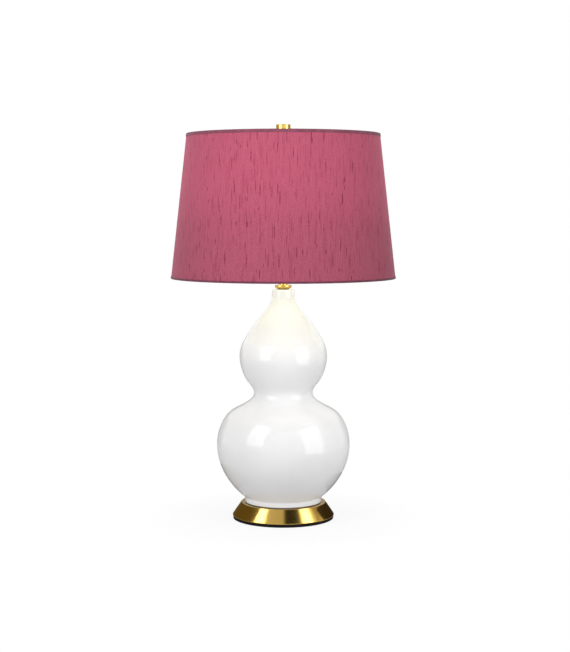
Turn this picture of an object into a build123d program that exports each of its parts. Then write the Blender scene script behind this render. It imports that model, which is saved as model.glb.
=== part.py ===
from build123d import *
from math import atan2, cos, degrees, hypot, radians, sin, sqrt, tan
import os

# Table lamp: a glazed double-gourd body stands on a hollow brass plinth, and one threaded tube runs
# up its middle and clamps the stack together. A harp carries the tapered drum shade, which a screwed
# finial holds down. Millimetres, +Z up, origin at the centre of the underside.

os.makedirs("parts", exist_ok=True)

# Fits between pieces
RUNNING_GAP = 0.05
SLIDING_GAP = 0.15
LAYER_GAP = 0.05

# Foot pad
PAD_RADIUS = 80.6
PAD_THICKNESS = 5.0
PAD_EDGE = 0.8

# Plinth
PLINTH_BOTTOM_RADIUS = 81.3
PLINTH_TOP_RADIUS = 67.5
PLINTH_HEIGHT = 21.0
PLINTH_LIP = 0.9
PLINTH_WALL = 1.5
PLINTH_FLANGE = 12.0
PLINTH_EDGE = 0.6

# Cord inlet in the back of the plinth
INLET_BORE_RADIUS = 3.7
INLET_WALL = 1.4
INLET_FLANGE_RADIUS = 7.5
INLET_FLANGE = 2.0
INLET_INSIDE = 5.0
INLET_HEIGHT = 10.0

# Threaded tube and its clamping hardware
ROD_RADIUS = 5.0
ROD_BORE_RADIUS = 3.6
ROD_HOLE_GAP = 0.2
ROD_TAIL = 3.0
ROD_CHAMFER = 0.5
WASHER_RADIUS = 15.0
WASHER_THICKNESS = 2.0
LOCK_WASHER_RADIUS = 9.0
LOCK_WASHER_THICKNESS = 1.0
LOCK_WASHER_TEETH = 10
LOCK_WASHER_NOTCH = 1.6
NUT_FLATS = 15.0
NUT_HEIGHT = 5.0
SADDLE_NUT_HEIGHT = 4.0

# Gourd body
FOOT_GASKET = 1.0
FOOT_GASKET_INSET = 1.0
FOOT_RADIUS = 61.5
FOOT_HEIGHT = 8.0
FOOT_RING_WIDTH = 9.0
FOOT_RECESS = 4.0
BELLY_RADIUS = 106.2
BELLY_RISE = 82.5
WAIST_RADIUS = 47.0
WAIST_RISE = 86.8
CROWN_RADIUS = 69.8
CROWN_RISE = 56.2
NECK_RADIUS = 18.0
NECK_RISE = 96.0
NECK_LENGTH = 11.0
NECK_ROOF = 6.0
NECK_HOLE_RADIUS = 6.5
NECK_EDGE = 1.6
GOURD_WALL = 5.0
GOURD_FLOOR_HOLE_RADIUS = 9.0

# Shape of each stretch of the gourd's outline: share of the rise, share of the change in radius
FOOT_TO_BELLY = [(0.21, 0.41), (0.51, 0.776)]
BELLY_TO_WAIST = [(0.453, 0.16), (0.626, 0.364), (0.73, 0.632), (0.811, 0.834), (0.893, 0.964)]
WAIST_TO_CROWN = [(0.26, 0.39), (0.60, 0.82)]
CROWN_TO_NECK = [(0.2, 0.075), (0.335, 0.214), (0.535, 0.455), (0.735, 0.747), (0.868, 0.922), (0.94, 0.977)]
FOOT_DIRECTION = (0.8, 0.6)
INNER_WALL_POINTS = 26

# Brass cap and riser on the neck
NECK_GASKET = 0.8
NECK_GASKET_RADIUS = 9.0
CAP_SEAT_RADIUS = 9.5
CAP_RIM_RADIUS = 13.3
CAP_RIM = 1.0
CAP_HEIGHT = 5.7
CAP_FLOOR = 2.5
RISER_RADIUS = 6.5
RISER_LENGTH = 10.2

# Harp saddle, harp and its two locking sleeves
HARP_HEIGHT = 227.5
HARP_WIRE_RADIUS = 2.0
HARP_LEG_SPAN = 60.0
HARP_WIDTH = 110.0
HARP_TOP_FLAT = 40.0
HARP_LEG_LENGTH = 50.0
HARP_BULGE_LOW = 0.58
HARP_BULGE_HIGH = 0.79
CORNER_SHARE = 0.45
SADDLE_STRIP = 2.5
SADDLE_WIDTH = 12.0
SADDLE_STRAP = 3.0
SADDLE_STRAP_HEIGHT = 9.0
SADDLE_BEND = 1.0
SADDLE_PIN = 10.0
SLEEVE_RADIUS = 4.0
SLEEVE_LENGTH = 22.0
SLEEVE_EDGE = 0.5
EYE_LENGTH = 18.0
EYE_WIDTH = 11.0
EYE_THICKNESS = 5.0
EYE_EDGE = 1.0

# Stud that is riveted through the eye of the harp
RIVET_RADIUS = 3.0
RIVET_HEAD_RADIUS = 4.5
RIVET_HEAD = 1.5
SEAT_RADIUS = 9.5
SEAT_THICKNESS = 2.0
STUD_RADIUS = 3.1
STUD_PITCH = 0.94
STUD_THREAD_DEPTH = 0.35
STUD_THREADS = 10

# Lampholder
HOLDER_HUB_RADIUS = 7.5
HOLDER_HUB_HEIGHT = 8.0
HOLDER_DISH_START = 5.0
HOLDER_DISH_RISE = 10.0
HOLDER_CAP_RIM = 8.0
HOLDER_CAP_WALL = 1.0
HOLDER_SHELL_RADIUS = 18.05
HOLDER_SHELL_WALL = 0.6
HOLDER_SHELL_HEIGHT = 47.5
HOLDER_BEAD = 0.7
LINER_WALL = 0.6
LINER_SETBACK = 3.0
CORE_HEIGHT = 20.0
CORE_FLAT = 12.5
CORE_FLAT_WIDTH = 10.0
CORE_RECESS_RADIUS = 9.0
CORE_RECESS = 5.0
SCREW_SHELL_RADIUS = 14.1
SCREW_SHELL_WALL = 0.6
SCREW_SHELL_HEIGHT = 23.0
SCREW_SHELL_FLOOR_HOLE = 6.5
CONTACT_LENGTH = 10.0
CONTACT_WIDTH = 6.0
CONTACT_THICKNESS = 0.6
CONTACT_RISE = 3.4
TERMINAL_HEAD_RADIUS = 2.6
TERMINAL_HEAD = 1.6
TERMINAL_SHANK_RADIUS = 1.5
TERMINAL_SHANK = 5.0
GRUB_RADIUS = 1.5
GRUB_HEAD = 0.8

# Turn switch in the lampholder
SWITCH_SHAFT_RADIUS = 2.2
SWITCH_SHAFT_DEPTH = 10.0
SWITCH_HOLE_GAP = 0.6
KNOB_RADIUS = 6.0
KNOB_LENGTH = 13.0
KNOB_STAND_OFF = 5.0
KNOB_FLUTES = 12
KNOB_FLUTE_RADIUS = 0.9
KNOB_EDGE = 0.4
KNOB_CAP = 2.0

# Screw-in bulb
BULB_TIP_RADIUS = 4.6
BULB_TIP = 1.6
BULB_INSULATOR_RADIUS = 10.5
BULB_INSULATOR = 4.0
BULB_THREAD_RADIUS = 13.1
BULB_THREAD_DEPTH = 0.9
BULB_PITCH = 3.62
BULB_THREADS = 4
BULB_CAP_WALL = 0.5
BULB_CAP_SKIRT = 4.0
BULB_HOUSING_LOW_RADIUS = 14.5
BULB_HOUSING_HIGH_RADIUS = 25.0
BULB_HOUSING_HEIGHT = 32.0
BULB_HOUSING_WALL = 2.0
BULB_BOARD = 1.6
BULB_GLOBE_RADIUS = 30.0
BULB_GLOBE_WALL = 1.0

# Shade
SHADE_BOTTOM_RADIUS = 178.6
SHADE_TOP_RADIUS = 153.0
SHADE_HEIGHT = 227.75
FABRIC_THICKNESS = 0.7
LINER_THICKNESS = 0.7
TRIM_THICKNESS = 0.6
TOP_TRIM_WIDTH = 5.0
BOTTOM_TRIM_WIDTH = 3.2
RING_WIRE_RADIUS = 1.8
TRIM_TUCK = 1.5
SPIDER_HUB_RADIUS = 14.0
SPIDER_HUB = 4.0
SPIDER_HUB_EDGE = 0.4
SPIDER_HOLE_GAP = 0.4
SPIDER_ARM_RADIUS = 1.6
SPIDER_ARMS = 3
SPIDER_FIRST_ARM = 90.0

# Finial
FINIAL_SEAT_RADIUS = 7.5
FINIAL_WAIST_RADIUS = 5.6
FINIAL_COLLAR_RADIUS = 8.5
FINIAL_BASE_HEIGHT = 5.5
FINIAL_SPIGOT_RADIUS = 5.0
FINIAL_SPIGOT = 2.5
FINIAL_FLANGE_RADIUS = 12.1
FINIAL_FLANGE = 1.4
FINIAL_KNOB_RADIUS = 11.3
FINIAL_KNOB_HEIGHT = 9.4
FINIAL_EDGE = 1.2
FINIAL_THREAD_GAP = 0.1
FINIAL_BORE_END = 0.6

# Heights of the stack, from the table up
plinth_bottom = PAD_THICKNESS
plinth_top = plinth_bottom + PLINTH_HEIGHT
foot_bottom = plinth_top + FOOT_GASKET
foot_top = foot_bottom + FOOT_HEIGHT
belly_z = foot_top + BELLY_RISE
waist_z = belly_z + WAIST_RISE
crown_z = waist_z + CROWN_RISE
neck_z = crown_z + NECK_RISE
neck_top = neck_z + NECK_LENGTH
cap_bottom = neck_top + NECK_GASKET
cap_top = cap_bottom + CAP_HEIGHT
riser_bottom = cap_bottom + CAP_FLOOR
saddle_bottom = riser_bottom + RISER_LENGTH
saddle_top = saddle_bottom + SADDLE_STRIP
holder_bottom = saddle_top + SADDLE_NUT_HEIGHT
strap_top = saddle_bottom + SADDLE_STRAP_HEIGHT
leg_bottom = strap_top + SADDLE_PIN
seat_top = saddle_bottom + HARP_HEIGHT
eye_top = seat_top - SEAT_THICKNESS
wire_top_z = eye_top - EYE_THICKNESS / 2
rod_hole_radius = ROD_RADIUS + ROD_HOLE_GAP
washer_top = plinth_top - PLINTH_WALL
lock_washer_top = washer_top - WASHER_THICKNESS
nut_top = lock_washer_top - LOCK_WASHER_THICKNESS
rod_bottom = nut_top - NUT_HEIGHT - ROD_TAIL
rod_top = holder_bottom + HOLDER_HUB_HEIGHT


def save(piece, name):
    """Labels a finished piece and writes its file."""
    piece.part.label = name
    export_step(piece.part, f"parts/{name}.step")


def tube(outer_radius, inner_radius, bottom, top):
    """A plain ring or tube about the lamp's axis."""
    with BuildPart() as ring:
        with BuildSketch(Plane.XY.offset(bottom)):
            Circle(outer_radius)
            Circle(inner_radius, mode=Mode.SUBTRACT)
        extrude(amount=top - bottom)
    return ring


def hex_nut(bottom, height):
    """A hexagonal nut on the threaded tube, with its corners chamfered."""
    corner = NUT_FLATS / 2 / cos(radians(30))
    with BuildPart() as nut:
        with BuildSketch(Plane.XY.offset(bottom)):
            RegularPolygon(corner, 6)
            Circle(ROD_RADIUS, mode=Mode.SUBTRACT)
        extrude(amount=height)
        with BuildSketch(Plane.XY.offset(bottom)):
            Circle((corner + NUT_FLATS / 2) / 2)
        extrude(amount=height, mode=Mode.INTERSECT)
    return nut


def corner_radii(points):
    """For each inner corner of a route, the arc that uses the same share of its shorter run."""
    radii = []
    for before, corner, after in zip(points, points[1:], points[2:]):
        arriving = (corner[0] - before[0], corner[1] - before[1])
        leaving = (after[0] - corner[0], after[1] - corner[1])
        turn = atan2(leaving[1], leaving[0]) - atan2(arriving[1], arriving[0])
        half_turn = abs(atan2(sin(turn), cos(turn))) / 2
        radii.append(CORNER_SHARE * min(hypot(*arriving), hypot(*leaving)) / tan(half_turn))
    return radii


def between(low, high, shares):
    """Outline points between two named points, from shares of the rise and of the change in radius."""
    return [
        (low[0] + (high[0] - low[0]) * radius_share, low[1] + (high[1] - low[1]) * rise_share)
        for rise_share, radius_share in shares
    ]


# Foot pad: black foam disc glued under the plinth
with BuildPart() as base_pad:
    with BuildSketch():
        Circle(PAD_RADIUS)
    extrude(amount=PAD_THICKNESS)
    fillet(base_pad.edges().sort_by(Axis.Z)[0], PAD_EDGE)

# Plinth: spun brass cone, open below, with an inward flange for the pad
plinth_slope = (PLINTH_BOTTOM_RADIUS - PLINTH_TOP_RADIUS) / (PLINTH_HEIGHT - PLINTH_LIP)
plinth_angle = atan2(plinth_slope, 1)
plinth_inset = PLINTH_WALL / cos(plinth_angle)


def plinth_radius(height):
    """Outer radius of the plinth's cone at a height above the table."""
    return PLINTH_TOP_RADIUS + (plinth_top - height) * plinth_slope


inlet_plane = Plane(
    origin=(0, plinth_radius(plinth_bottom + INLET_HEIGHT), plinth_bottom + INLET_HEIGHT),
    x_dir=(1, 0, 0),
    z_dir=(0, cos(plinth_angle), sin(plinth_angle)),
)
inlet_barrel_radius = INLET_BORE_RADIUS + INLET_WALL

with BuildPart() as plinth_shell:
    flange_top = plinth_bottom + PLINTH_WALL
    lip_top = plinth_bottom + PLINTH_LIP
    with BuildSketch(Plane.XZ) as plinth_section:
        with BuildLine():
            Polyline(
                (rod_hole_radius, plinth_top),
                (PLINTH_TOP_RADIUS, plinth_top),
                (PLINTH_BOTTOM_RADIUS, lip_top),
                (PLINTH_BOTTOM_RADIUS, plinth_bottom),
                (PLINTH_BOTTOM_RADIUS - PLINTH_FLANGE, plinth_bottom),
                (PLINTH_BOTTOM_RADIUS - PLINTH_FLANGE, flange_top),
                (plinth_radius(lip_top) - plinth_inset, flange_top),
                (plinth_radius(washer_top) - plinth_inset, washer_top),
                (rod_hole_radius, washer_top),
                close=True,
            )
        make_face()
        rim_corner = plinth_section.vertices().group_by(Axis.Y)[-1].sort_by(Axis.X)[-1]
        lip_corners = plinth_section.vertices().group_by(Axis.X)[-1]
        fillet([rim_corner, *lip_corners], PLINTH_EDGE)
    revolve(axis=Axis.Z)
    with BuildSketch(inlet_plane.offset(INLET_FLANGE)):
        Circle(inlet_barrel_radius)
    extrude(amount=-INLET_FLANGE - INLET_INSIDE, mode=Mode.SUBTRACT)

# Cord inlet: flanged bush through the back of the cone, its flange cut to the cone's curve
with BuildPart() as cord_bushing:
    with BuildSketch(inlet_plane.offset(INLET_FLANGE)):
        Circle(INLET_FLANGE_RADIUS)
    extrude(amount=-INLET_FLANGE - PLINTH_WALL / 2)
    fillet(cord_bushing.edges().sort_by(Axis.Y)[-1], INLET_FLANGE / 2)
    with BuildSketch(inlet_plane):
        Circle(inlet_barrel_radius)
    extrude(amount=-INLET_INSIDE)
    add(plinth_shell.part, mode=Mode.SUBTRACT)
    with BuildSketch(inlet_plane.offset(INLET_FLANGE)):
        Circle(INLET_BORE_RADIUS)
    extrude(amount=-INLET_FLANGE - INLET_INSIDE, mode=Mode.SUBTRACT)

# Clamping hardware inside the plinth
rod_washer = tube(WASHER_RADIUS, rod_hole_radius, lock_washer_top, washer_top)
with BuildPart() as rod_lock_washer:
    with BuildSketch(Plane.XY.offset(nut_top)):
        Circle(LOCK_WASHER_RADIUS)
        Circle(rod_hole_radius, mode=Mode.SUBTRACT)
        with PolarLocations(LOCK_WASHER_RADIUS, LOCK_WASHER_TEETH):
            Rectangle(2 * LOCK_WASHER_NOTCH, LOCK_WASHER_NOTCH, mode=Mode.SUBTRACT)
    extrude(amount=LOCK_WASHER_THICKNESS)
rod_nut = hex_nut(nut_top - NUT_HEIGHT, NUT_HEIGHT)

# Threaded tube from the plinth to the lampholder
with BuildPart() as lamp_rod:
    with BuildSketch(Plane.XY.offset(rod_bottom)):
        Circle(ROD_RADIUS)
        Circle(ROD_BORE_RADIUS, mode=Mode.SUBTRACT)
    extrude(amount=rod_top - rod_bottom)
    rod_ends = lamp_rod.edges().filter_by(GeomType.CIRCLE).group_by(SortBy.RADIUS)[-1]
    chamfer(rod_ends, ROD_CHAMFER)

# Gourd body: one glazed shell with a foot ring, a floor and a closed-in neck
foot_gasket = tube(
    FOOT_RADIUS - FOOT_GASKET_INSET,
    FOOT_RADIUS - FOOT_RING_WIDTH + FOOT_GASKET_INSET,
    plinth_top,
    foot_bottom,
)

foot_point = (FOOT_RADIUS, foot_top)
belly_point = (BELLY_RADIUS, belly_z)
waist_point = (WAIST_RADIUS, waist_z)
crown_point = (CROWN_RADIUS, crown_z)
neck_point = (NECK_RADIUS, neck_z)
outline_points = [
    foot_point,
    *between(foot_point, belly_point, FOOT_TO_BELLY),
    belly_point,
    *between(belly_point, waist_point, BELLY_TO_WAIST),
    waist_point,
    *between(waist_point, crown_point, WAIST_TO_CROWN),
    crown_point,
    *between(crown_point, neck_point, CROWN_TO_NECK),
    neck_point,
]

with BuildPart() as gourd_body:
    with BuildSketch(Plane.XZ) as gourd_section:
        with BuildLine():
            outline = Spline(*outline_points, tangents=[FOOT_DIRECTION, (0, 1)])
            inner_points = []
            for step in range(INNER_WALL_POINTS + 1):
                along = outline % (step / INNER_WALL_POINTS)
                inward = Vector(-along.Y, along.X) * GOURD_WALL
                inner_points.append(outline @ (step / INNER_WALL_POINTS) + inward)
            Spline(*inner_points)
            roof = neck_top - NECK_ROOF
            floor_point, throat_point = inner_points[0], inner_points[-1]
            Polyline(
                neck_point,
                (NECK_RADIUS, neck_top),
                (NECK_HOLE_RADIUS, neck_top),
                (NECK_HOLE_RADIUS, roof),
                (throat_point.X, roof),
                throat_point,
            )
            Polyline(
                floor_point,
                (GOURD_FLOOR_HOLE_RADIUS, floor_point.Y),
                (GOURD_FLOOR_HOLE_RADIUS, foot_bottom + FOOT_RECESS),
                (FOOT_RADIUS - FOOT_RING_WIDTH, foot_bottom + FOOT_RECESS),
                (FOOT_RADIUS - FOOT_RING_WIDTH, foot_bottom),
                (FOOT_RADIUS, foot_bottom),
                foot_point,
            )
        make_face()
        lip_corner = gourd_section.vertices().group_by(Axis.Y)[-1].sort_by(Axis.X)[-1]
        fillet(lip_corner, NECK_EDGE)
    revolve(axis=Axis.Z)

# The two bulbs are thrown apart and joined at the waist, where the glaze covers the joint
waist_plane = Plane.XY.offset(waist_z)
with BuildPart() as gourd_lower:
    add(gourd_body.part)
    split(bisect_by=waist_plane, keep=Keep.BOTTOM)

with BuildPart() as gourd_upper:
    add(gourd_body.part)
    split(bisect_by=waist_plane, keep=Keep.TOP)

# Neck fittings: gasket, dished brass cap and riser tube
neck_gasket = tube(NECK_GASKET_RADIUS, NECK_HOLE_RADIUS, neck_top, cap_bottom)

with BuildPart() as neck_cap:
    with BuildSketch(Plane.XZ):
        with BuildLine():
            Line((CAP_SEAT_RADIUS, cap_bottom), (rod_hole_radius, cap_bottom))
            Line((rod_hole_radius, cap_bottom), (rod_hole_radius, riser_bottom))
            Line((rod_hole_radius, riser_bottom), (RISER_RADIUS + LAYER_GAP, riser_bottom))
            Line((RISER_RADIUS + LAYER_GAP, riser_bottom), (CAP_RIM_RADIUS - CAP_RIM, cap_top))
            Line((CAP_RIM_RADIUS - CAP_RIM, cap_top), (CAP_RIM_RADIUS, cap_top))
            Line((CAP_RIM_RADIUS, cap_top), (CAP_RIM_RADIUS, cap_top - CAP_RIM))
            TangentArc(
                (CAP_RIM_RADIUS, cap_top - CAP_RIM), (CAP_SEAT_RADIUS, cap_bottom), tangent=(0, -1)
            )
        make_face()
    revolve(axis=Axis.Z)

neck_riser = tube(RISER_RADIUS, rod_hole_radius, riser_bottom, saddle_bottom)

# Harp saddle: a strip clamped under the lampholder, with a strap and a pin at each end
leg_x = HARP_LEG_SPAN / 2
with BuildPart() as harp_saddle:
    saddle_length = HARP_LEG_SPAN + SADDLE_STRAP
    with BuildSketch(Plane.XZ.offset(-SADDLE_WIDTH / 2)) as saddle_section:
        with Locations((0, saddle_bottom)):
            Rectangle(saddle_length, SADDLE_STRAP_HEIGHT, align=(Align.CENTER, Align.MIN))
        with Locations((0, saddle_top)):
            Rectangle(
                saddle_length - 2 * SADDLE_STRAP,
                SADDLE_STRAP_HEIGHT,
                align=(Align.CENTER, Align.MIN),
                mode=Mode.SUBTRACT,
            )
        fillet(saddle_section.vertices().group_by(Axis.Y)[0], SADDLE_BEND + SADDLE_STRIP)
        fillet(saddle_section.vertices().filter_by_position(
            Axis.Y, saddle_top - LAYER_GAP, saddle_top + LAYER_GAP
        ).filter_by(lambda v: abs(v.X) < saddle_length / 2 - LAYER_GAP), SADDLE_BEND)
    extrude(amount=SADDLE_WIDTH)
    with BuildSketch(Plane.XY.offset(saddle_bottom)):
        Circle(rod_hole_radius)
    extrude(amount=SADDLE_STRIP, mode=Mode.SUBTRACT)
    with BuildSketch(Plane.XY.offset(strap_top)):
        with Locations((-leg_x, 0), (leg_x, 0)):
            Circle(HARP_WIRE_RADIUS)
    extrude(amount=SADDLE_PIN)

saddle_nut = hex_nut(saddle_top, SADDLE_NUT_HEIGHT)

# Harp: one bent wire with a flat eye at the top
bulge_x = HARP_WIDTH / 2
bulge_low_z = saddle_bottom + HARP_HEIGHT * HARP_BULGE_LOW
bulge_high_z = saddle_bottom + HARP_HEIGHT * HARP_BULGE_HIGH
right_side = [
    (leg_x, leg_bottom),
    (leg_x, leg_bottom + HARP_LEG_LENGTH),
    (bulge_x, bulge_low_z),
    (bulge_x, bulge_high_z),
    (HARP_TOP_FLAT / 2, wire_top_z),
]
harp_route = right_side + [(-x, z) for x, z in reversed(right_side)]

with BuildPart() as harp_bow:
    with BuildLine(Plane.XZ) as harp_path:
        FilletPolyline(*harp_route, radius=corner_radii(harp_route))
    with BuildSketch(Plane.XY.offset(leg_bottom)):
        with Locations((leg_x, 0)):
            Circle(HARP_WIRE_RADIUS)
    sweep(path=harp_path.wire())
    with BuildSketch(Plane.XY.offset(eye_top - EYE_THICKNESS)):
        RectangleRounded(EYE_LENGTH, EYE_WIDTH, EYE_WIDTH / 2 - EYE_EDGE)
    extrude(amount=EYE_THICKNESS)
    with BuildSketch(Plane.XY.offset(eye_top - EYE_THICKNESS)):
        Circle(RIVET_RADIUS)
    extrude(amount=EYE_THICKNESS, mode=Mode.SUBTRACT)

# Locking sleeves over the joints between the saddle's pins and the harp's legs
sleeves = {}
for side, x in (("left_sleeve", -leg_x), ("right_sleeve", leg_x)):
    with BuildPart() as sleeve:
        with BuildSketch(Plane.XY.offset(strap_top)):
            with Locations((x, 0)):
                Circle(SLEEVE_RADIUS)
                Circle(HARP_WIRE_RADIUS + SLIDING_GAP, mode=Mode.SUBTRACT)
        extrude(amount=SLEEVE_LENGTH)
        rims = sleeve.edges().filter_by(GeomType.CIRCLE).group_by(SortBy.RADIUS)[-1]
        fillet(rims, SLEEVE_EDGE)
    sleeves[side] = sleeve

# Stud: riveted under the eye, with a seat for the shade and a thread for the finial
hub_top = seat_top + SPIDER_HUB
stud_top = hub_top + STUD_PITCH * STUD_THREADS
root_radius = STUD_RADIUS - STUD_THREAD_DEPTH
with BuildPart() as harp_stud:
    rivet_bottom = eye_top - EYE_THICKNESS - RIVET_HEAD
    thread_points = []
    for turn in range(STUD_THREADS):
        thread_points.append((STUD_RADIUS, hub_top + STUD_PITCH * (turn + 0.25)))
        thread_points.append((root_radius, hub_top + STUD_PITCH * (turn + 0.75)))
    with BuildSketch(Plane.XZ):
        with BuildLine():
            Polyline(
                (0, rivet_bottom),
                (RIVET_HEAD_RADIUS, rivet_bottom),
                (RIVET_HEAD_RADIUS, rivet_bottom + RIVET_HEAD),
                (RIVET_RADIUS, rivet_bottom + RIVET_HEAD),
                (RIVET_RADIUS, eye_top),
                (SEAT_RADIUS, eye_top),
                (SEAT_RADIUS, seat_top),
                (STUD_RADIUS, seat_top),
                *thread_points,
                (root_radius, stud_top),
                (0, stud_top),
                close=True,
            )
        make_face()
    revolve(axis=Axis.Z)

# Lampholder, from its threaded cap to its outer shell
cap_inner_radius = HOLDER_SHELL_RADIUS + LAYER_GAP
cap_outer_radius = cap_inner_radius + HOLDER_CAP_WALL
dish_top = holder_bottom + HOLDER_DISH_START + HOLDER_DISH_RISE
dish_slope = HOLDER_DISH_RISE / (cap_outer_radius - HOLDER_HUB_RADIUS)
dish_wall = HOLDER_CAP_WALL * sqrt(1 + dish_slope**2)
cap_rim_top = dish_top + HOLDER_CAP_RIM


def dish_floor(radius):
    """Height of the lampholder cap's inner face at a radius."""
    return dish_top - (cap_outer_radius - radius) * dish_slope + dish_wall


shell_inner_radius = HOLDER_SHELL_RADIUS - HOLDER_SHELL_WALL
shell_bottom = dish_floor(cap_inner_radius) + LAYER_GAP
shell_top = shell_bottom + HOLDER_SHELL_HEIGHT
liner_outer_radius = shell_inner_radius - LAYER_GAP
liner_inner_radius = liner_outer_radius - LINER_WALL
core_radius = liner_inner_radius - LAYER_GAP
core_bottom = dish_floor(core_radius) + LAYER_GAP
core_top = core_bottom + CORE_HEIGHT
switch_z = core_bottom + CORE_HEIGHT / 2
switch_bore_radius = SWITCH_SHAFT_RADIUS + RUNNING_GAP
switch_hole_radius = SWITCH_SHAFT_RADIUS + SWITCH_HOLE_GAP
hub_face = holder_bottom + HOLDER_HUB_HEIGHT
grub_z = holder_bottom + HOLDER_DISH_START / 2
with BuildPart() as holder_cap:
    with BuildSketch(Plane.XZ):
        with BuildLine():
            Polyline(
                (ROD_RADIUS, holder_bottom),
                (HOLDER_HUB_RADIUS, holder_bottom),
                (HOLDER_HUB_RADIUS, holder_bottom + HOLDER_DISH_START),
                (cap_outer_radius, dish_top),
                (cap_outer_radius, cap_rim_top),
                (cap_inner_radius, cap_rim_top),
                (cap_inner_radius, dish_floor(cap_inner_radius)),
                (HOLDER_HUB_RADIUS, dish_floor(HOLDER_HUB_RADIUS)),
                (HOLDER_HUB_RADIUS, hub_face),
                (ROD_RADIUS, hub_face),
                close=True,
            )
        make_face()
    revolve(axis=Axis.Z)
    with BuildSketch(Plane.YZ):
        with Locations((0, grub_z)):
            Circle(GRUB_RADIUS)
    extrude(amount=HOLDER_HUB_RADIUS + GRUB_HEAD, mode=Mode.SUBTRACT)
    with BuildSketch(Plane.XZ):
        with Locations((0, switch_z)):
            Circle(switch_hole_radius)
    extrude(amount=2 * cap_outer_radius, mode=Mode.SUBTRACT)

with BuildPart() as holder_grub_screw:
    with BuildSketch(Plane.YZ):
        with Locations((0, grub_z)):
            Circle(GRUB_RADIUS)
    extrude(amount=HOLDER_HUB_RADIUS + GRUB_HEAD)
    with BuildSketch(Plane.XY.offset(holder_bottom)):
        Circle(ROD_RADIUS)
    extrude(amount=HOLDER_HUB_HEIGHT, mode=Mode.SUBTRACT)

with BuildPart() as holder_core:
    with BuildSketch(Plane.XY.offset(core_bottom)):
        Circle(core_radius)
        with Locations((CORE_FLAT + core_radius, 0), (-CORE_FLAT - core_radius, 0)):
            Rectangle(2 * core_radius, CORE_FLAT_WIDTH, mode=Mode.SUBTRACT)
    extrude(amount=CORE_HEIGHT)
    with BuildSketch(Plane.XY.offset(core_bottom)):
        Circle(CORE_RECESS_RADIUS)
    extrude(amount=CORE_RECESS, mode=Mode.SUBTRACT)
    with BuildSketch(Plane.XZ.offset(core_radius - SWITCH_SHAFT_DEPTH)):
        with Locations((0, switch_z)):
            Circle(switch_bore_radius)
    extrude(amount=core_radius, mode=Mode.SUBTRACT)
    with BuildSketch(Plane.YZ.offset(-CORE_FLAT)):
        with Locations((0, switch_z)):
            Circle(TERMINAL_SHANK_RADIUS)
    extrude(amount=TERMINAL_SHANK, mode=Mode.SUBTRACT)
    with BuildSketch(Plane.YZ.offset(CORE_FLAT)):
        with Locations((0, switch_z)):
            Circle(TERMINAL_SHANK_RADIUS)
    extrude(amount=-TERMINAL_SHANK, mode=Mode.SUBTRACT)

with BuildPart() as terminal_screws:
    for side in (-1, 1):
        with BuildSketch(Plane.YZ.offset(side * CORE_FLAT)):
            with Locations((0, switch_z)):
                Circle(TERMINAL_HEAD_RADIUS)
        extrude(amount=side * TERMINAL_HEAD)
        with BuildSketch(Plane.YZ.offset(side * CORE_FLAT)):
            with Locations((0, switch_z)):
                Circle(TERMINAL_SHANK_RADIUS)
        extrude(amount=-side * TERMINAL_SHANK)

contact_top = core_top + CONTACT_RISE
with BuildPart() as centre_contact:
    with BuildSketch(Plane.XZ.offset(-CONTACT_WIDTH / 2)):
        with BuildLine():
            Polyline(
                (-CONTACT_LENGTH / 2, core_top),
                (CONTACT_LENGTH / 2, core_top),
                (CONTACT_LENGTH / 2, contact_top),
                (-CONTACT_LENGTH / 4, contact_top),
                (-CONTACT_LENGTH / 4, contact_top - CONTACT_THICKNESS),
                (CONTACT_LENGTH / 2 - CONTACT_THICKNESS, contact_top - CONTACT_THICKNESS),
                (CONTACT_LENGTH / 2 - CONTACT_THICKNESS, core_top + CONTACT_THICKNESS),
                (-CONTACT_LENGTH / 2, core_top + CONTACT_THICKNESS),
                close=True,
            )
        make_face()
    extrude(amount=CONTACT_WIDTH)

screw_shell_inner = SCREW_SHELL_RADIUS - SCREW_SHELL_WALL
screw_shell_top = core_top + SCREW_SHELL_HEIGHT
with BuildPart() as screw_shell:
    with BuildSketch(Plane.XZ):
        with BuildLine():
            Polyline(
                (SCREW_SHELL_FLOOR_HOLE, core_top),
                (SCREW_SHELL_RADIUS, core_top),
                (SCREW_SHELL_RADIUS, screw_shell_top),
                (screw_shell_inner, screw_shell_top),
                (screw_shell_inner, core_top + SCREW_SHELL_WALL),
                (SCREW_SHELL_FLOOR_HOLE, core_top + SCREW_SHELL_WALL),
                close=True,
            )
        make_face()
    revolve(axis=Axis.Z)

with BuildPart() as holder_liner:
    with BuildSketch(Plane.XY.offset(shell_bottom)):
        Circle(liner_outer_radius)
        Circle(liner_inner_radius, mode=Mode.SUBTRACT)
    extrude(amount=HOLDER_SHELL_HEIGHT - LINER_SETBACK)
    with BuildSketch(Plane.XZ):
        with Locations((0, switch_z)):
            Circle(switch_hole_radius)
    extrude(amount=cap_outer_radius, mode=Mode.SUBTRACT)

with BuildPart() as holder_shell:
    with BuildSketch(Plane.XZ):
        with BuildLine():
            Polyline(
                (shell_inner_radius, shell_bottom),
                (HOLDER_SHELL_RADIUS, shell_bottom),
                (HOLDER_SHELL_RADIUS, shell_top - 2 * HOLDER_BEAD),
                (HOLDER_SHELL_RADIUS + HOLDER_BEAD, shell_top - HOLDER_BEAD),
                (HOLDER_SHELL_RADIUS, shell_top),
                (shell_inner_radius, shell_top),
                close=True,
            )
        make_face()
    revolve(axis=Axis.Z)
    with BuildSketch(Plane.XZ):
        with Locations((0, switch_z)):
            Circle(switch_hole_radius)
    extrude(amount=cap_outer_radius, mode=Mode.SUBTRACT)

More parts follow.
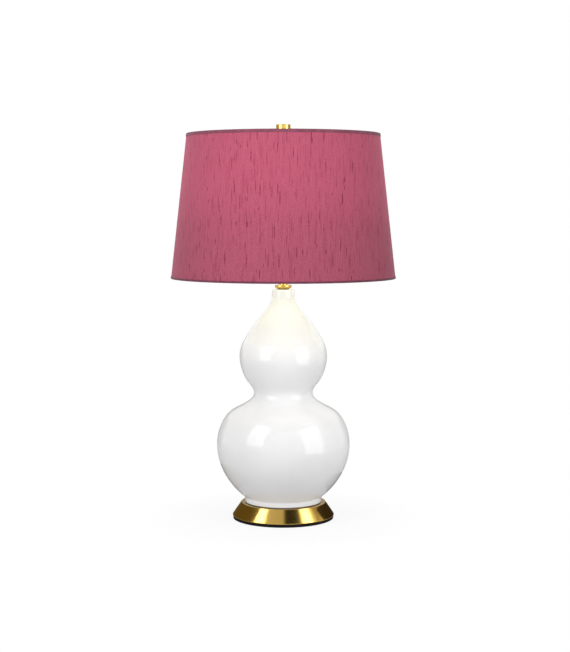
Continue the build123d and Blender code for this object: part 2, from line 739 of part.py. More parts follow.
# Turn switch: its shaft runs in the core, and the fluted knob sits on the shaft's end
shaft_start = core_radius - SWITCH_SHAFT_DEPTH + LAYER_GAP
knob_start = cap_outer_radius + KNOB_STAND_OFF
knob_end = knob_start + KNOB_LENGTH
with BuildPart() as switch_shaft:
    with BuildSketch(Plane.XZ.offset(shaft_start)):
        with Locations((0, switch_z)):
            Circle(SWITCH_SHAFT_RADIUS)
    extrude(amount=knob_end - KNOB_CAP - shaft_start)

with BuildPart() as switch_knob:
    with BuildSketch(Plane.XZ.offset(knob_start)):
        with Locations((0, switch_z)):
            Circle(KNOB_RADIUS)
            with PolarLocations(KNOB_RADIUS, KNOB_FLUTES):
                Circle(KNOB_FLUTE_RADIUS, mode=Mode.SUBTRACT)
    extrude(amount=KNOB_LENGTH)
    chamfer(switch_knob.faces().sort_by(Axis.Y)[0].edges(), KNOB_EDGE)
    with BuildSketch(Plane.XZ.offset(knob_start)):
        with Locations((0, switch_z)):
            Circle(SWITCH_SHAFT_RADIUS)
    extrude(amount=KNOB_LENGTH - KNOB_CAP, mode=Mode.SUBTRACT)

# Bulb: contact tip, insulator, threaded cap, housing, light board and globe
tip_bottom = contact_top
insulator_bottom = tip_bottom + BULB_TIP
bulb_cap_bottom = insulator_bottom + BULB_INSULATOR
bulb_root_radius = BULB_THREAD_RADIUS - BULB_THREAD_DEPTH
thread_top = bulb_cap_bottom + BULB_PITCH * BULB_THREADS
bulb_cap_top = thread_top + BULB_CAP_SKIRT
housing_top = bulb_cap_top + BULB_HOUSING_HEIGHT

with BuildPart() as bulb_contact:
    with BuildSketch(Plane.XY.offset(tip_bottom)):
        Circle(BULB_TIP_RADIUS)
    extrude(amount=BULB_TIP)

with BuildPart() as bulb_insulator:
    with BuildSketch(Plane.XZ):
        with BuildLine():
            Polyline(
                (0, insulator_bottom),
                (BULB_TIP_RADIUS, insulator_bottom),
                (BULB_INSULATOR_RADIUS, bulb_cap_bottom),
                (0, bulb_cap_bottom),
                close=True,
            )
        make_face()
    revolve(axis=Axis.Z)

with BuildPart() as bulb_cap:
    bulb_cap_inner = bulb_root_radius - BULB_CAP_WALL
    ridge_points = []
    for turn in range(BULB_THREADS):
        ridge_points.append((bulb_root_radius, bulb_cap_bottom + BULB_PITCH * (turn + 0.1)))
        ridge_points.append((BULB_THREAD_RADIUS, bulb_cap_bottom + BULB_PITCH * (turn + 0.4)))
        ridge_points.append((BULB_THREAD_RADIUS, bulb_cap_bottom + BULB_PITCH * (turn + 0.6)))
        ridge_points.append((bulb_root_radius, bulb_cap_bottom + BULB_PITCH * (turn + 0.9)))
    with BuildSketch(Plane.XZ):
        with BuildLine():
            Polyline(
                (0, bulb_cap_bottom),
                (BULB_INSULATOR_RADIUS, bulb_cap_bottom),
                *ridge_points,
                (bulb_root_radius, bulb_cap_top),
                (bulb_cap_inner, bulb_cap_top),
                (bulb_cap_inner, bulb_cap_bottom + 2 * BULB_CAP_WALL),
                (0, bulb_cap_bottom + 2 * BULB_CAP_WALL),
                close=True,
            )
        make_face()
    revolve(axis=Axis.Z)

housing_bore_low = BULB_HOUSING_LOW_RADIUS - BULB_HOUSING_WALL
housing_bore_high = BULB_HOUSING_HIGH_RADIUS - BULB_HOUSING_WALL
with BuildPart() as bulb_housing:
    with BuildSketch(Plane.XZ):
        with BuildLine():
            Polyline(
                (0, bulb_cap_top),
                (BULB_HOUSING_LOW_RADIUS, bulb_cap_top),
                (BULB_HOUSING_HIGH_RADIUS, housing_top),
                (housing_bore_high, housing_top),
                (housing_bore_low, bulb_cap_top + BULB_HOUSING_WALL),
                (0, bulb_cap_top + BULB_HOUSING_WALL),
                close=True,
            )
        make_face()
    revolve(axis=Axis.Z)

globe_drop = sqrt(BULB_GLOBE_RADIUS**2 - BULB_HOUSING_HIGH_RADIUS**2)
globe_z = housing_top + globe_drop
inner_globe_radius = BULB_GLOBE_RADIUS - BULB_GLOBE_WALL
globe_start = -degrees(atan2(globe_drop, BULB_HOUSING_HIGH_RADIUS))
inner_start_x = sqrt(inner_globe_radius**2 - globe_drop**2)
inner_start = -degrees(atan2(globe_drop, inner_start_x))
with BuildPart() as bulb_globe:
    with BuildSketch(Plane.XZ):
        with BuildLine():
            CenterArc((0, globe_z), BULB_GLOBE_RADIUS, globe_start, 90 - globe_start)
            CenterArc((0, globe_z), inner_globe_radius, inner_start, 90 - inner_start)
            Line((0, globe_z + inner_globe_radius), (0, globe_z + BULB_GLOBE_RADIUS))
            Line((inner_start_x, housing_top), (BULB_HOUSING_HIGH_RADIUS, housing_top))
        make_face()
    revolve(axis=Axis.Z)

board_seat = housing_top - BULB_HOUSING_WALL
board_radius_limit = housing_bore_low + (housing_bore_high - housing_bore_low) * (
    board_seat - bulb_cap_top - BULB_HOUSING_WALL
) / (BULB_HOUSING_HEIGHT - BULB_HOUSING_WALL)
bulb_light_board = tube(
    board_radius_limit - LAYER_GAP, BULB_TIP_RADIUS, board_seat, board_seat + BULB_BOARD
)

# Shade frame: hub, arms and two wire rings
arm_z = seat_top + SPIDER_HUB / 2
shade_top = arm_z + RING_WIRE_RADIUS + LAYER_GAP + TRIM_THICKNESS
shade_bottom = shade_top - SHADE_HEIGHT
bottom_ring_z = shade_bottom + TRIM_THICKNESS + LAYER_GAP + RING_WIRE_RADIUS
shade_slope = (SHADE_BOTTOM_RADIUS - SHADE_TOP_RADIUS) / SHADE_HEIGHT
liner_depth = TRIM_THICKNESS + FABRIC_THICKNESS + LINER_THICKNESS
ring_depth = liner_depth + RING_WIRE_RADIUS * sqrt(1 + shade_slope**2) + LAYER_GAP


def shade_radius(height, depth=0.0):
    """Radius of the shade's outside at a height, or of a face that lies deeper in its wall."""
    return SHADE_TOP_RADIUS + (shade_top - height) * shade_slope - depth


def wall_layer(outer_depth, inner_depth, bottom, top):
    """One conical layer of the shade's wall."""
    with BuildPart() as layer:
        with BuildSketch(Plane.XZ):
            with BuildLine():
                Polyline(
                    (shade_radius(bottom, outer_depth), bottom),
                    (shade_radius(top, outer_depth), top),
                    (shade_radius(top, inner_depth), top),
                    (shade_radius(bottom, inner_depth), bottom),
                    close=True,
                )
            make_face()
        revolve(axis=Axis.Z)
    return layer


def edge_trim(edge, inward, width, ring_z):
    """A folded fabric edge: it covers the wall's rim outside, goes over it and tucks round the ring."""
    outside_end = edge + inward * width
    fold = edge + inward * TRIM_THICKNESS
    tuck_end = ring_z + inward * (RING_WIRE_RADIUS + TRIM_TUCK)
    tuck_outer = shade_radius(ring_z, ring_depth) - RING_WIRE_RADIUS - LAYER_GAP
    tuck_inner = tuck_outer - TRIM_THICKNESS
    with BuildPart() as trim:
        with BuildSketch(Plane.XZ):
            with BuildLine():
                Polyline(
                    (shade_radius(outside_end), outside_end),
                    (shade_radius(edge), edge),
                    (tuck_inner, edge),
                    (tuck_inner, tuck_end),
                    (tuck_outer, tuck_end),
                    (tuck_outer, fold),
                    (shade_radius(fold, TRIM_THICKNESS), fold),
                    (shade_radius(outside_end, TRIM_THICKNESS), outside_end),
                    close=True,
                )
            make_face()
        revolve(axis=Axis.Z)
    return trim


def ring_wire(height):
    """A wire ring that lies against the inside of the shade's wall."""
    with BuildPart() as ring:
        with Locations((0, 0, height)):
            Torus(shade_radius(height, ring_depth), RING_WIRE_RADIUS)
    return ring


shade_top_ring = ring_wire(arm_z)
shade_bottom_ring = ring_wire(bottom_ring_z)
wall_bottom = shade_bottom + TRIM_THICKNESS
wall_top = shade_top - TRIM_THICKNESS
shade_fabric = wall_layer(TRIM_THICKNESS, TRIM_THICKNESS + FABRIC_THICKNESS, wall_bottom, wall_top)
shade_liner = wall_layer(TRIM_THICKNESS + FABRIC_THICKNESS, liner_depth, wall_bottom, wall_top)
shade_bottom_trim = edge_trim(shade_bottom, 1, BOTTOM_TRIM_WIDTH, bottom_ring_z)

with BuildPart() as spider_hub:
    with BuildSketch(Plane.XY.offset(seat_top)):
        Circle(SPIDER_HUB_RADIUS)
        Circle(STUD_RADIUS + SPIDER_HOLE_GAP, mode=Mode.SUBTRACT)
    extrude(amount=SPIDER_HUB)
    hub_rims = spider_hub.edges().filter_by(GeomType.CIRCLE).group_by(SortBy.RADIUS)[-1]
    fillet(hub_rims, SPIDER_HUB_EDGE)

arm_length = shade_radius(arm_z, ring_depth)
with BuildPart() as spider_arms:
    with Locations((0, 0, arm_z)):
        with PolarLocations(arm_length / 2, SPIDER_ARMS, start_angle=SPIDER_FIRST_ARM):
            Cylinder(SPIDER_ARM_RADIUS, arm_length, rotation=(0, 90, 0))
    with BuildSketch(Plane.XY.offset(arm_z)):
        Circle(SPIDER_HUB_RADIUS)
    extrude(amount=2 * SPIDER_ARM_RADIUS, both=True, mode=Mode.SUBTRACT)
    add(shade_top_ring.part, mode=Mode.SUBTRACT)

with BuildPart() as shade_top_trim:
    add(edge_trim(shade_top, -1, TOP_TRIM_WIDTH, arm_z).part)
    with Locations((0, 0, arm_z)):
        with PolarLocations(arm_length / 2, SPIDER_ARMS, start_angle=SPIDER_FIRST_ARM):
            Cylinder(SPIDER_ARM_RADIUS + LAYER_GAP, arm_length, rotation=(0, 90, 0), mode=Mode.SUBTRACT)

# Finial: a tapped base that seats on the hub, and the knob that turns with it
finial_bore_radius = STUD_RADIUS + FINIAL_THREAD_GAP
finial_base_top = hub_top + FINIAL_BASE_HEIGHT
spigot_top = finial_base_top + FINIAL_SPIGOT
finial_top = finial_base_top + FINIAL_KNOB_HEIGHT
with BuildPart() as finial_base:
    with BuildSketch(Plane.XZ):
        with BuildLine():
            Polyline(
                (FINIAL_SEAT_RADIUS, hub_top),
                (finial_bore_radius, hub_top),
                (finial_bore_radius, spigot_top),
                (FINIAL_SPIGOT_RADIUS, spigot_top),
                (FINIAL_SPIGOT_RADIUS, finial_base_top),
                (FINIAL_COLLAR_RADIUS, finial_base_top),
            )
            ThreePointArc(
                (FINIAL_COLLAR_RADIUS, finial_base_top),
                (FINIAL_WAIST_RADIUS, hub_top + FINIAL_BASE_HEIGHT / 2),
                (FINIAL_SEAT_RADIUS, hub_top),
            )
        make_face()
    revolve(axis=Axis.Z)

with BuildPart() as finial_knob:
    flange_face = finial_base_top + FINIAL_FLANGE
    with BuildSketch(Plane.XZ) as knob_section:
        with BuildLine():
            Polyline(
                (FINIAL_SPIGOT_RADIUS + RUNNING_GAP, finial_base_top),
                (FINIAL_FLANGE_RADIUS, finial_base_top),
                (FINIAL_FLANGE_RADIUS, flange_face),
                (FINIAL_KNOB_RADIUS, flange_face),
                (FINIAL_KNOB_RADIUS, finial_top),
                (0, finial_top),
                (0, stud_top + FINIAL_BORE_END),
                (finial_bore_radius, stud_top + FINIAL_BORE_END),
                (finial_bore_radius, spigot_top + RUNNING_GAP),
                (FINIAL_SPIGOT_RADIUS + RUNNING_GAP, spigot_top + RUNNING_GAP),
                close=True,
            )
        make_face()
        fillet(knob_section.vertices().group_by(Axis.Y)[-1].sort_by(Axis.X)[-1], FINIAL_EDGE)
    revolve(axis=Axis.Z)

pieces = {
    "base_pad": base_pad,
    "plinth_shell": plinth_shell,
    "cord_bushing": cord_bushing,
    "rod_washer": rod_washer,
    "rod_lock_washer": rod_lock_washer,
    "rod_nut": rod_nut,
    "lamp_rod": lamp_rod,
    "foot_gasket": foot_gasket,
    "gourd_lower": gourd_lower,
    "gourd_upper": gourd_upper,
    "neck_gasket": neck_gasket,
    "neck_cap": neck_cap,
    "neck_riser": neck_riser,
    "harp_saddle": harp_saddle,
    "saddle_nut": saddle_nut,
    "harp_bow": harp_bow,
    "harp_stud": harp_stud,
    **sleeves,
    "holder_cap": holder_cap,
    "holder_grub_screw": holder_grub_screw,
    "holder_core": holder_core,
    "terminal_screws": terminal_screws,
    "centre_contact": centre_contact,
    "screw_shell": screw_shell,
    "holder_liner": holder_liner,
    "holder_shell": holder_shell,
    "switch_shaft": switch_shaft,
    "switch_knob": switch_knob,
    "bulb_contact": bulb_contact,
    "bulb_insulator": bulb_insulator,
    "bulb_cap": bulb_cap,
    "bulb_housing": bulb_housing,
    "bulb_light_board": bulb_light_board,
    "bulb_globe": bulb_globe,
    "spider_hub": spider_hub,
    "spider_arms": spider_arms,
    "shade_top_ring": shade_top_ring,
    "shade_bottom_ring": shade_bottom_ring,
    "shade_liner": shade_liner,
    "shade_fabric": shade_fabric,
    "shade_top_trim": shade_top_trim,
    "shade_bottom_trim": shade_bottom_trim,
    "finial_base": finial_base,
    "finial_knob": finial_knob,
}
for name, piece in pieces.items():
    save(piece, name)
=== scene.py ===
import math

import bpy
import numpy as np
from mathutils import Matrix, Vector


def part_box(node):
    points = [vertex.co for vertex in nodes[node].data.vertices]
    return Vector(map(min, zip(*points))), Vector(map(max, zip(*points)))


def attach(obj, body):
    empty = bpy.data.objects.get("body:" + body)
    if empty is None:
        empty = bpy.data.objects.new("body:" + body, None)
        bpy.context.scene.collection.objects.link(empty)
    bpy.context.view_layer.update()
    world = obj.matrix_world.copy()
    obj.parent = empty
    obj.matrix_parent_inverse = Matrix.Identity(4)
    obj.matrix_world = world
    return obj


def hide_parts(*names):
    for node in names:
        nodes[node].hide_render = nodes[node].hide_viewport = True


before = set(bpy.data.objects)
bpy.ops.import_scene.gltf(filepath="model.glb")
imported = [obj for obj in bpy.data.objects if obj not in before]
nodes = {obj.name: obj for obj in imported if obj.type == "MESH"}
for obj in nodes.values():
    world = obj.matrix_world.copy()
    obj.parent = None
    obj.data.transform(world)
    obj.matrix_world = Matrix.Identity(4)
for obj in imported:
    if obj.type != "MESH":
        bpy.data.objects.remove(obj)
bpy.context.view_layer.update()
scene = bpy.context.scene
black, white = (0.0, 0.0, 0.0, 1.0), (1.0, 1.0, 1.0, 1.0)
print("frame: CAD nodes", len(nodes))


def coneOf(node, rimDepth=0.0001):  # the cone that a node's outside lies on, and the fan that it unrolls to
    low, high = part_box(node)
    height = high.z - low.z
    edge = [point.co for point in nodes[node].data.vertices if point.co.z > high.z - rimDepth]
    rim = max(math.hypot(place.x, place.y) for place in edge)
    lean = (high.x - rim) / height
    slant = math.hypot(1.0, lean)  # metres along the wall for each metre up
    return dict(
        low=low.z, high=high.z, height=height, wide=high.x, narrow=rim, lean=lean, slant=slant,
        girth=math.pi * (high.x + rim), apex=high.x * slant / lean, fan=math.tau * lean / slant,
    )


wall = coneOf("shade_fabric")
print("shade: wall leans", round(wall["lean"], 5))


class Wire:  # one output socket, so that node sums read as sums
    def __init__(self, tree, socket):
        self.tree = tree
        self.socket = socket

    def node(self, kind, settings, sockets, out=0):  # any node: its settings first, then its sockets
        made = self.tree.nodes.new(kind)
        for key, value in settings.items():
            setattr(made, key, value)
        for key, value in sockets.items():
            if isinstance(value, Wire):
                self.tree.links.new(value.socket, made.inputs[key])
            else:
                made.inputs[key].default_value = value
        return Wire(self.tree, made.outputs[out])

    def math(self, how, first, second=0.0):
        return self.node("ShaderNodeMath", {"operation": how}, {0: first, 1: second})

    def __add__(self, other):
        return self.math("ADD", self, other)

    def __sub__(self, other):
        return self.math("SUBTRACT", self, other)

    def __rsub__(self, other):
        return self.math("SUBTRACT", other, self)

    def __mul__(self, other):
        return self.math("MULTIPLY", self, other)

    def __truediv__(self, other):
        return self.math("DIVIDE", self, other)

    def __rtruediv__(self, other):
        return self.math("DIVIDE", other, self)

    def __pow__(self, other):
        return self.math("POWER", self, other)

    __radd__ = __add__
    __rmul__ = __mul__

    def part(self, out):  # another output of the same node
        return Wire(self.tree, self.socket.node.outputs[out])

    def noise(self, scale=1.0, detail=2.0, rough=0.5):  # self is the vector
        return self.node("ShaderNodeTexNoise", {"noise_dimensions": "3D"}, {
            "Vector": self, "Scale": scale, "Detail": detail, "Roughness": rough})

    def cells(self, scale=1.0, dimensions="3D"):  # self is the vector
        return self.node("ShaderNodeTexVoronoi", {"voronoi_dimensions": dimensions}, {
            "Vector": self, "Scale": scale})

    def stretched(self, x, y, z=1.0):  # self is a vector, scaled along each axis
        return self.node("ShaderNodeVectorMath", {"operation": "MULTIPLY"}, {0: self, 1: (x, y, z)})

    def axes(self):  # self is a vector: the wire of its X, whose parts 1 and 2 are Y and Z
        return self.node("ShaderNodeSeparateXYZ", {}, {0: self})

    def ramp(self, low, high, bottom=0.0, top=1.0):  # smooth step from bottom to top
        return self.node("ShaderNodeMapRange", {"interpolation_type": "SMOOTHSTEP"}, {
            "Value": self, "From Min": low, "From Max": high, "To Min": bottom, "To Max": top})

    def tint(self, first, second):  # self is the factor between two colours
        return self.node("ShaderNodeMix", {"data_type": "RGBA"}, {0: self, 6: first, 7: second}, 2)


def blended(shares, *wires):  # the wires' sum, each times its share
    total = wires[0] * shares[0]
    for share, wire in zip(shares[1:], wires[1:]):
        total = total + wire * share
    return total


def gritty(look, *noises):  # a finish's roughness, swung both ways by noises, which lie about a half
    return blended(look["grit"], *noises) + (look["roughness"] - sum(look["grit"]) / 2)


def bumps(height, depth, under=None):  # a normal from a height wire, its depth in metres
    sockets = {"Height": height, "Distance": depth}
    if under:
        sockets["Normal"] = under
    return height.node("ShaderNodeBump", {}, sockets)


def firstSight(tree):  # a wire that is 1 until a ray has met a matt surface, then 0
    depth = Wire(tree, tree.nodes.new("ShaderNodeLightPath").outputs["Diffuse Depth"])
    return depth.math("LESS_THAN", depth, 0.5)


def raysIn(tree):  # two wires: 1 for what the camera sees, and 1 for what gloss or glass shows it
    seen = Wire(tree, tree.nodes.new("ShaderNodeLightPath").outputs["Is Camera Ray"])
    mirrors = seen.math("MAXIMUM", seen.part("Is Glossy Ray"), seen.part("Is Transmission Ray"))
    return seen, mirrors * firstSight(tree)


def colour(red, green, blue):  # sRGB bytes to a linear colour
    def linear(byte):
        share = byte / 255
        return share / 12.92 if share <= 0.04045 else ((share + 0.055) / 1.055) ** 2.4
    return (linear(red), linear(green), linear(blue), 1.0)


def newFinish(name):  # an empty material: itself, its shader, and a wire of object coordinates
    finish = bpy.data.materials.new(name)
    finish.use_nodes = True
    tree = finish.node_tree
    shader = tree.nodes["Principled BSDF"]
    place = tree.nodes.new("ShaderNodeTexCoord")
    return finish, shader, Wire(tree, place.outputs["Object"])


def fill(shader, wires, fixed):  # links what varies, sets what is the same all over
    tree = shader.id_data
    for key, wire in wires.items():
        tree.links.new(wire.socket, shader.inputs[key])
    for key, value in fixed.items():
        shader.inputs[key].default_value = value


brass = dict(
    bright=colour(230, 194, 106), worn=colour(210, 170, 84), toneShares=(0.55, 0.25),
    roughness=0.16, grit=(0.06, 0.04, 0.02), ringsPerMetre=1800, ringDepth=0.000004,
    cloudScale=26.0, cloudRange=(0.35, 0.75), fineScale=420.0,
)


def brassFinish(name, look):  # spun and lacquered: fine rings round the axis, cloudy tone
    finish, shader, place = newFinish(name)
    x = place.axes()
    y, z = x.part(1), x.part(2)
    reach, dense = (x * x + y * y) ** 0.5, look["ringsPerMetre"]
    rings = place.node("ShaderNodeCombineXYZ", {}, {0: reach * dense, 1: z * dense})
    lines = rings.noise(detail=3.0, rough=0.6)
    cloud = place.noise(look["cloudScale"], detail=3.0, rough=0.55)
    fine = place.noise(look["fineScale"])
    tone = blended(look["toneShares"], cloud.ramp(*look["cloudRange"]), lines)
    fill(shader, {
        "Base Color": tone.tint(look["bright"], look["worn"]),
        "Roughness": gritty(look, lines, cloud, fine),
        "Normal": bumps(lines, look["ringDepth"]),
    }, {"Metallic": 1.0})
    return finish


glaze = dict(
    body=colour(248, 248, 249), thin=colour(242, 242, 243), fleck=colour(205, 203, 196),
    roughness=0.02, grit=(0.01, 0.02), cloudScale=11.0, cloudRange=(0.3, 0.7),
    waveScale=15.0, waveDepth=0.00005, peelScale=520.0, peelDepth=0.0000008,
    ringsPerMetre=110.0, ringDepth=0.00002, ringEvenness=0.06,
    pinScale=85.0, pinSize=(0.035, 0.075), pinLevel=0.5, patchScale=33.0, patchRange=(0.56, 0.64),
)


def glazeFinish(name, look):  # thick glossy glaze over thrown rings: soft waves, faint clouds, rare pins
    finish, shader, place = newFinish(name)
    cloud = place.noise(look["cloudScale"], detail=3.0)
    waves = place.noise(look["waveScale"], detail=1.0, rough=0.4)
    peel = place.noise(look["peelScale"])
    rings = place.stretched(look["ringEvenness"], look["ringEvenness"]).noise(look["ringsPerMetre"])
    patches = place.noise(look["patchScale"]).ramp(*look["patchRange"])
    pins = place.cells(look["pinScale"]).ramp(*look["pinSize"], look["pinLevel"], 0.0) * patches
    base = cloud.ramp(*look["cloudRange"]).tint(look["body"], look["thin"])
    thrown = bumps(rings, look["ringDepth"], bumps(waves, look["waveDepth"]))
    fill(shader, {
        "Base Color": pins.tint(base, look["fleck"]),
        "Roughness": gritty(look, peel, cloud),
        "Normal": bumps(peel, look["peelDepth"], thrown),
    }, {"IOR": 1.52})
    return finish


foam = dict(
    face=colour(22, 20, 18), pore=colour(9, 8, 8), toneShares=(0.7, 0.3), roughness=0.855, grit=(0.15,),
    poreScale=900.0, poreRange=(0.15, 0.6), poreDepth=0.00025, grainScale=140.0,
)


def foamFinish(name, look):  # closed-cell foam: fine pores
    finish, shader, place = newFinish(name)
    pores = place.cells(look["poreScale"])
    grain = place.noise(look["grainScale"], detail=4.0, rough=0.6)
    fill(shader, {
        "Base Color": blended(look["toneShares"], pores.ramp(*look["poreRange"]), grain).tint(
            look["pore"], look["face"]),
        "Roughness": gritty(look, grain),
        "Normal": bumps(pores + grain, look["poreDepth"]),
    }, {"Specular IOR Level": 0.3})
    return finish


def mouldedLook(base, shade, roughness, grainScale, grainDepth):
    return dict(
        base=colour(*base), shade=colour(*shade), toneShares=(0.5, 0.5), toneRange=(0.35, 0.65),
        roughness=roughness, grit=(0.12,), grainScale=grainScale, grainDepth=grainDepth, cloudScale=40.0)


moulded = {  # plastics, rubber, fibre and enamel: two tones, roughness, grain to the metre and its depth
    "grey_rubber": mouldedLook((128, 128, 126), (104, 104, 104), 0.75, 300.0, 0.00006),
    "black_plastic": mouldedLook((44, 43, 42), (30, 29, 29), 0.45, 900.0, 0.00004),
    "black_phenolic": mouldedLook((52, 40, 34), (34, 26, 22), 0.35, 600.0, 0.00003),
    "fibre_sleeve": mouldedLook((98, 86, 72), (74, 64, 52), 0.85, 420.0, 0.00012),
    "white_enamel_wire": mouldedLook((240, 238, 232), (226, 223, 214), 0.35, 260.0, 0.00005),
    "white_bulb_body": mouldedLook((240, 239, 235), (228, 226, 220), 0.3, 350.0, 0.00002),
}


def mouldedFinish(name, look):  # fine grain under a faint cloud
    finish, shader, place = newFinish(name)
    grain = place.noise(look["grainScale"], detail=3.0, rough=0.6)
    cloud = place.noise(look["cloudScale"])
    tone = blended(look["toneShares"], grain, cloud).ramp(*look["toneRange"])
    fill(shader, {
        "Base Color": tone.tint(look["base"], look["shade"]),
        "Roughness": gritty(look, grain),
        "Normal": bumps(grain, look["grainDepth"]),
    }, {})
    return finish


def platedLook(base, worn, roughness, markScale):
    return dict(
        base=colour(*base), worn=colour(*worn), roughness=roughness, grit=(0.14, 0.08),
        cloudScale=60.0, cloudRange=(0.3, 0.75), markScale=markScale, markSlack=0.12, markDepth=0.000008)


plated = {  # bare and plated metals: two tones, roughness, draw marks to the metre
    "contact_brass": platedLook((216, 180, 104), (180, 142, 78), 0.28, 700.0),
    "zinc_steel": platedLook((206, 208, 206), (176, 176, 166), 0.34, 500.0),
    "nickel_plate": platedLook((222, 218, 208), (196, 190, 178), 0.22, 600.0),
    "board_aluminium": platedLook((214, 215, 214), (190, 191, 190), 0.4, 800.0),
}


def platedFinish(name, look):  # clouding and fine draw marks
    finish, shader, place = newFinish(name)
    cloud = place.noise(look["cloudScale"], detail=3.0, rough=0.55)
    marks = place.stretched(1.0, 1.0, look["markSlack"]).noise(look["markScale"])
    fill(shader, {
        "Base Color": cloud.ramp(*look["cloudRange"]).tint(look["base"], look["worn"]),
        "Roughness": gritty(look, marks, cloud),
        "Normal": bumps(marks, look["markDepth"]),
    }, {"Metallic": 1.0})
    return finish


cloth = dict(
    thick=0.0007, edge=0.0002, segments=256, seed=5.0,
    face=colour(188, 94, 117), weft=colour(164, 78, 100), slub=colour(112, 10, 40),
    pale=colour(202, 116, 136), sheen=colour(235, 170, 185),
    drift=(170.0, 60.0), driftReach=0.0004, threads=(1250.0, 80.0), streaks=(700.0, 14.0),  # per metre
    specks=(700.0, 450.0), picks=(40.0, 2600.0), beads=(900.0, 260.0), lanes=(420.0, 3.0),
    groundShares=(0.35, 0.15, 0.5), groundRange=(0.36, 0.64), paleRange=(0.56, 0.72), paleLevel=0.2,
    strokes=dict(across=0.0031, along=0.046, share=0.75, depth=1.3),
    longLines=dict(across=0.0026, along=0.090, share=0.50, depth=0.4),
    knots=dict(across=0.0036, along=0.018, share=0.09, depth=1.0),
    slubSize=0.16, slubSwell=0.20, slubEdge=0.6, slubFaint=0.2, slubRarity=1.5, slubLevel=0.9, slubShadow=0.7,
    laneRange=(0.40, 0.56, 0.25, 1.0), beadRange=(0.30, 0.60, 0.4, 1.0),
    roughness=0.69, grit=(0.14,), reliefShares=(1.5, 0.5, 0.35), reliefDepth=0.00022,
    glow=(1.0, 0.13, 0.26, 1.0), glowLevel=0.105, glowFrom=0.16, glowTo=0.75,
)


def clothFinish(name, look, cone):  # slub silk: warp threads up the wall, with thick dark slubs along them, and a painted glow of the bulb's light through it
    finish, shader, place = newFinish(name)
    uv = place.part("UV")
    u = uv.axes()  # metres round the wall
    v = u.part(1)  # metres up it
    turn = (u / cone["girth"] - 0.5) * cone["fan"]
    reach = cone["apex"] - v * cone["slant"]
    flatX, flatY = reach * uv.math("SINE", turn), reach * uv.math("COSINE", turn)
    cut = uv.node("ShaderNodeCombineXYZ", {}, {0: flatX, 1: flatY})  # where it lay in the flat cloth
    drift = cut.stretched(*look["drift"]).noise() - 0.5
    spot = uv.node("ShaderNodeCombineXYZ", {}, {0: flatX + drift * look["driftReach"], 1: flatY})
    threads = spot.stretched(*look["threads"]).noise(rough=0.6)
    streaks = spot.stretched(*look["streaks"]).noise(rough=0.55)
    specks = cut.stretched(*look["specks"]).noise()
    picks = spot.stretched(*look["picks"]).noise(detail=1.0)
    beads = spot.stretched(*look["beads"]).noise(detail=1.0)
    lanes = cut.stretched(*look["lanes"]).noise(detail=1.0)  # some threads have most of the slubs

    def slubs(across, along, share, depth):  # one thickened thread in a share of the cells
        cells = spot.stretched(1 / across, 1 / along).cells(dimensions="2D")
        chance = uv.node("ShaderNodeSeparateColor", {}, {0: cells.part("Color")})
        there = uv.math("LESS_THAN", chance, share)
        size = chance.part(1) * look["slubSwell"] + look["slubSize"]
        dark = chance.part(2) ** look["slubRarity"] * (1.0 - look["slubFaint"]) + look["slubFaint"]
        return (1.0 - cells / size).ramp(0.0, look["slubEdge"]) * there * dark * depth

    strokes = slubs(**look["strokes"]) * lanes.ramp(*look["laneRange"]) * beads.ramp(*look["beadRange"])
    knots = uv.math("MAXIMUM", strokes, slubs(**look["longLines"]))
    knots = uv.math("MAXIMUM", knots, slubs(**look["knots"]))
    ground = blended(look["groundShares"], threads, streaks, specks).ramp(*look["groundRange"])
    paler = streaks.ramp(*look["paleRange"], 0.0, look["paleLevel"])
    # painted glow: the bulb's light through the cloth, rising up the wall and held back by the slubs
    lit = (v / cone["height"]).ramp(look["glowFrom"], look["glowTo"]) * (1.0 - knots * look["slubShadow"])
    fill(shader, {
        "Base Color": (knots * look["slubLevel"]).tint(
            paler.tint(ground.tint(look["weft"], look["face"]), look["pale"]), look["slub"]),
        "Roughness": gritty(look, threads),
        "Normal": bumps(blended(look["reliefShares"], knots, threads, picks), look["reliefDepth"]),
        "Emission Color": lit.tint(black, look["glow"]),
    }, {"Emission Strength": look["glowLevel"], "Sheen Weight": 0.2, "Sheen Roughness": 0.45,
        "Sheen Tint": look["sheen"], "Specular IOR Level": 0.25})
    return finish


hem = dict(
    face=colour(157, 92, 112), dark=colour(99, 49, 67), rise=0.44,
    threads=(1500.0, 60.0), clouds=(60.0, 60.0), toneShares=(0.6, 0.4), toneRange=(0.35, 0.68),
    roughness=0.74, grit=(0.12,), reliefShares=(1.0, 0.4), reliefDepth=0.0002,
)


def hemFinish(name, look, cone):  # the same cloth, doubled over; painted darker, as the fold lets none of the bulb's light through, and darkest at the bottom with painted shade
    finish, shader, place = newFinish(name)
    uv = place.part("UV")
    threads = uv.stretched(*look["threads"]).noise(rough=0.6)
    clouds = uv.stretched(*look["clouds"]).noise()
    # painted shade: the colour darkens towards the bottom of the shade, where the hem faces down
    rise = place.axes().part(2).ramp(cone["low"], cone["high"], 0.0, look["rise"])
    weave = blended(look["toneShares"], threads, clouds).ramp(*look["toneRange"], 0.0, 1.0 - look["rise"])
    fill(shader, {
        "Base Color": (weave + rise).tint(look["dark"], look["face"]),
        "Roughness": gritty(look, threads),
        "Normal": bumps(blended(look["reliefShares"], threads, clouds), look["reliefDepth"]),
    }, {"Sheen Weight": 0.1, "Sheen Roughness": 0.5, "Specular IOR Level": 0.25})
    return finish


backing = dict(
    face=colour(244, 240, 230), fibre=colour(233, 226, 210), toneShares=(0.5, 0.5), toneRange=(0.35, 0.7),
    roughness=0.60, grit=(0.1,), fibreScale=320.0, fibreSlack=0.2, fibreDepth=0.00004, cloudScale=14.0,
    glow=colour(255, 244, 218), glowLevel=0.16, glowRange=(0.2, 0.8, 0.8, 1.0),
)


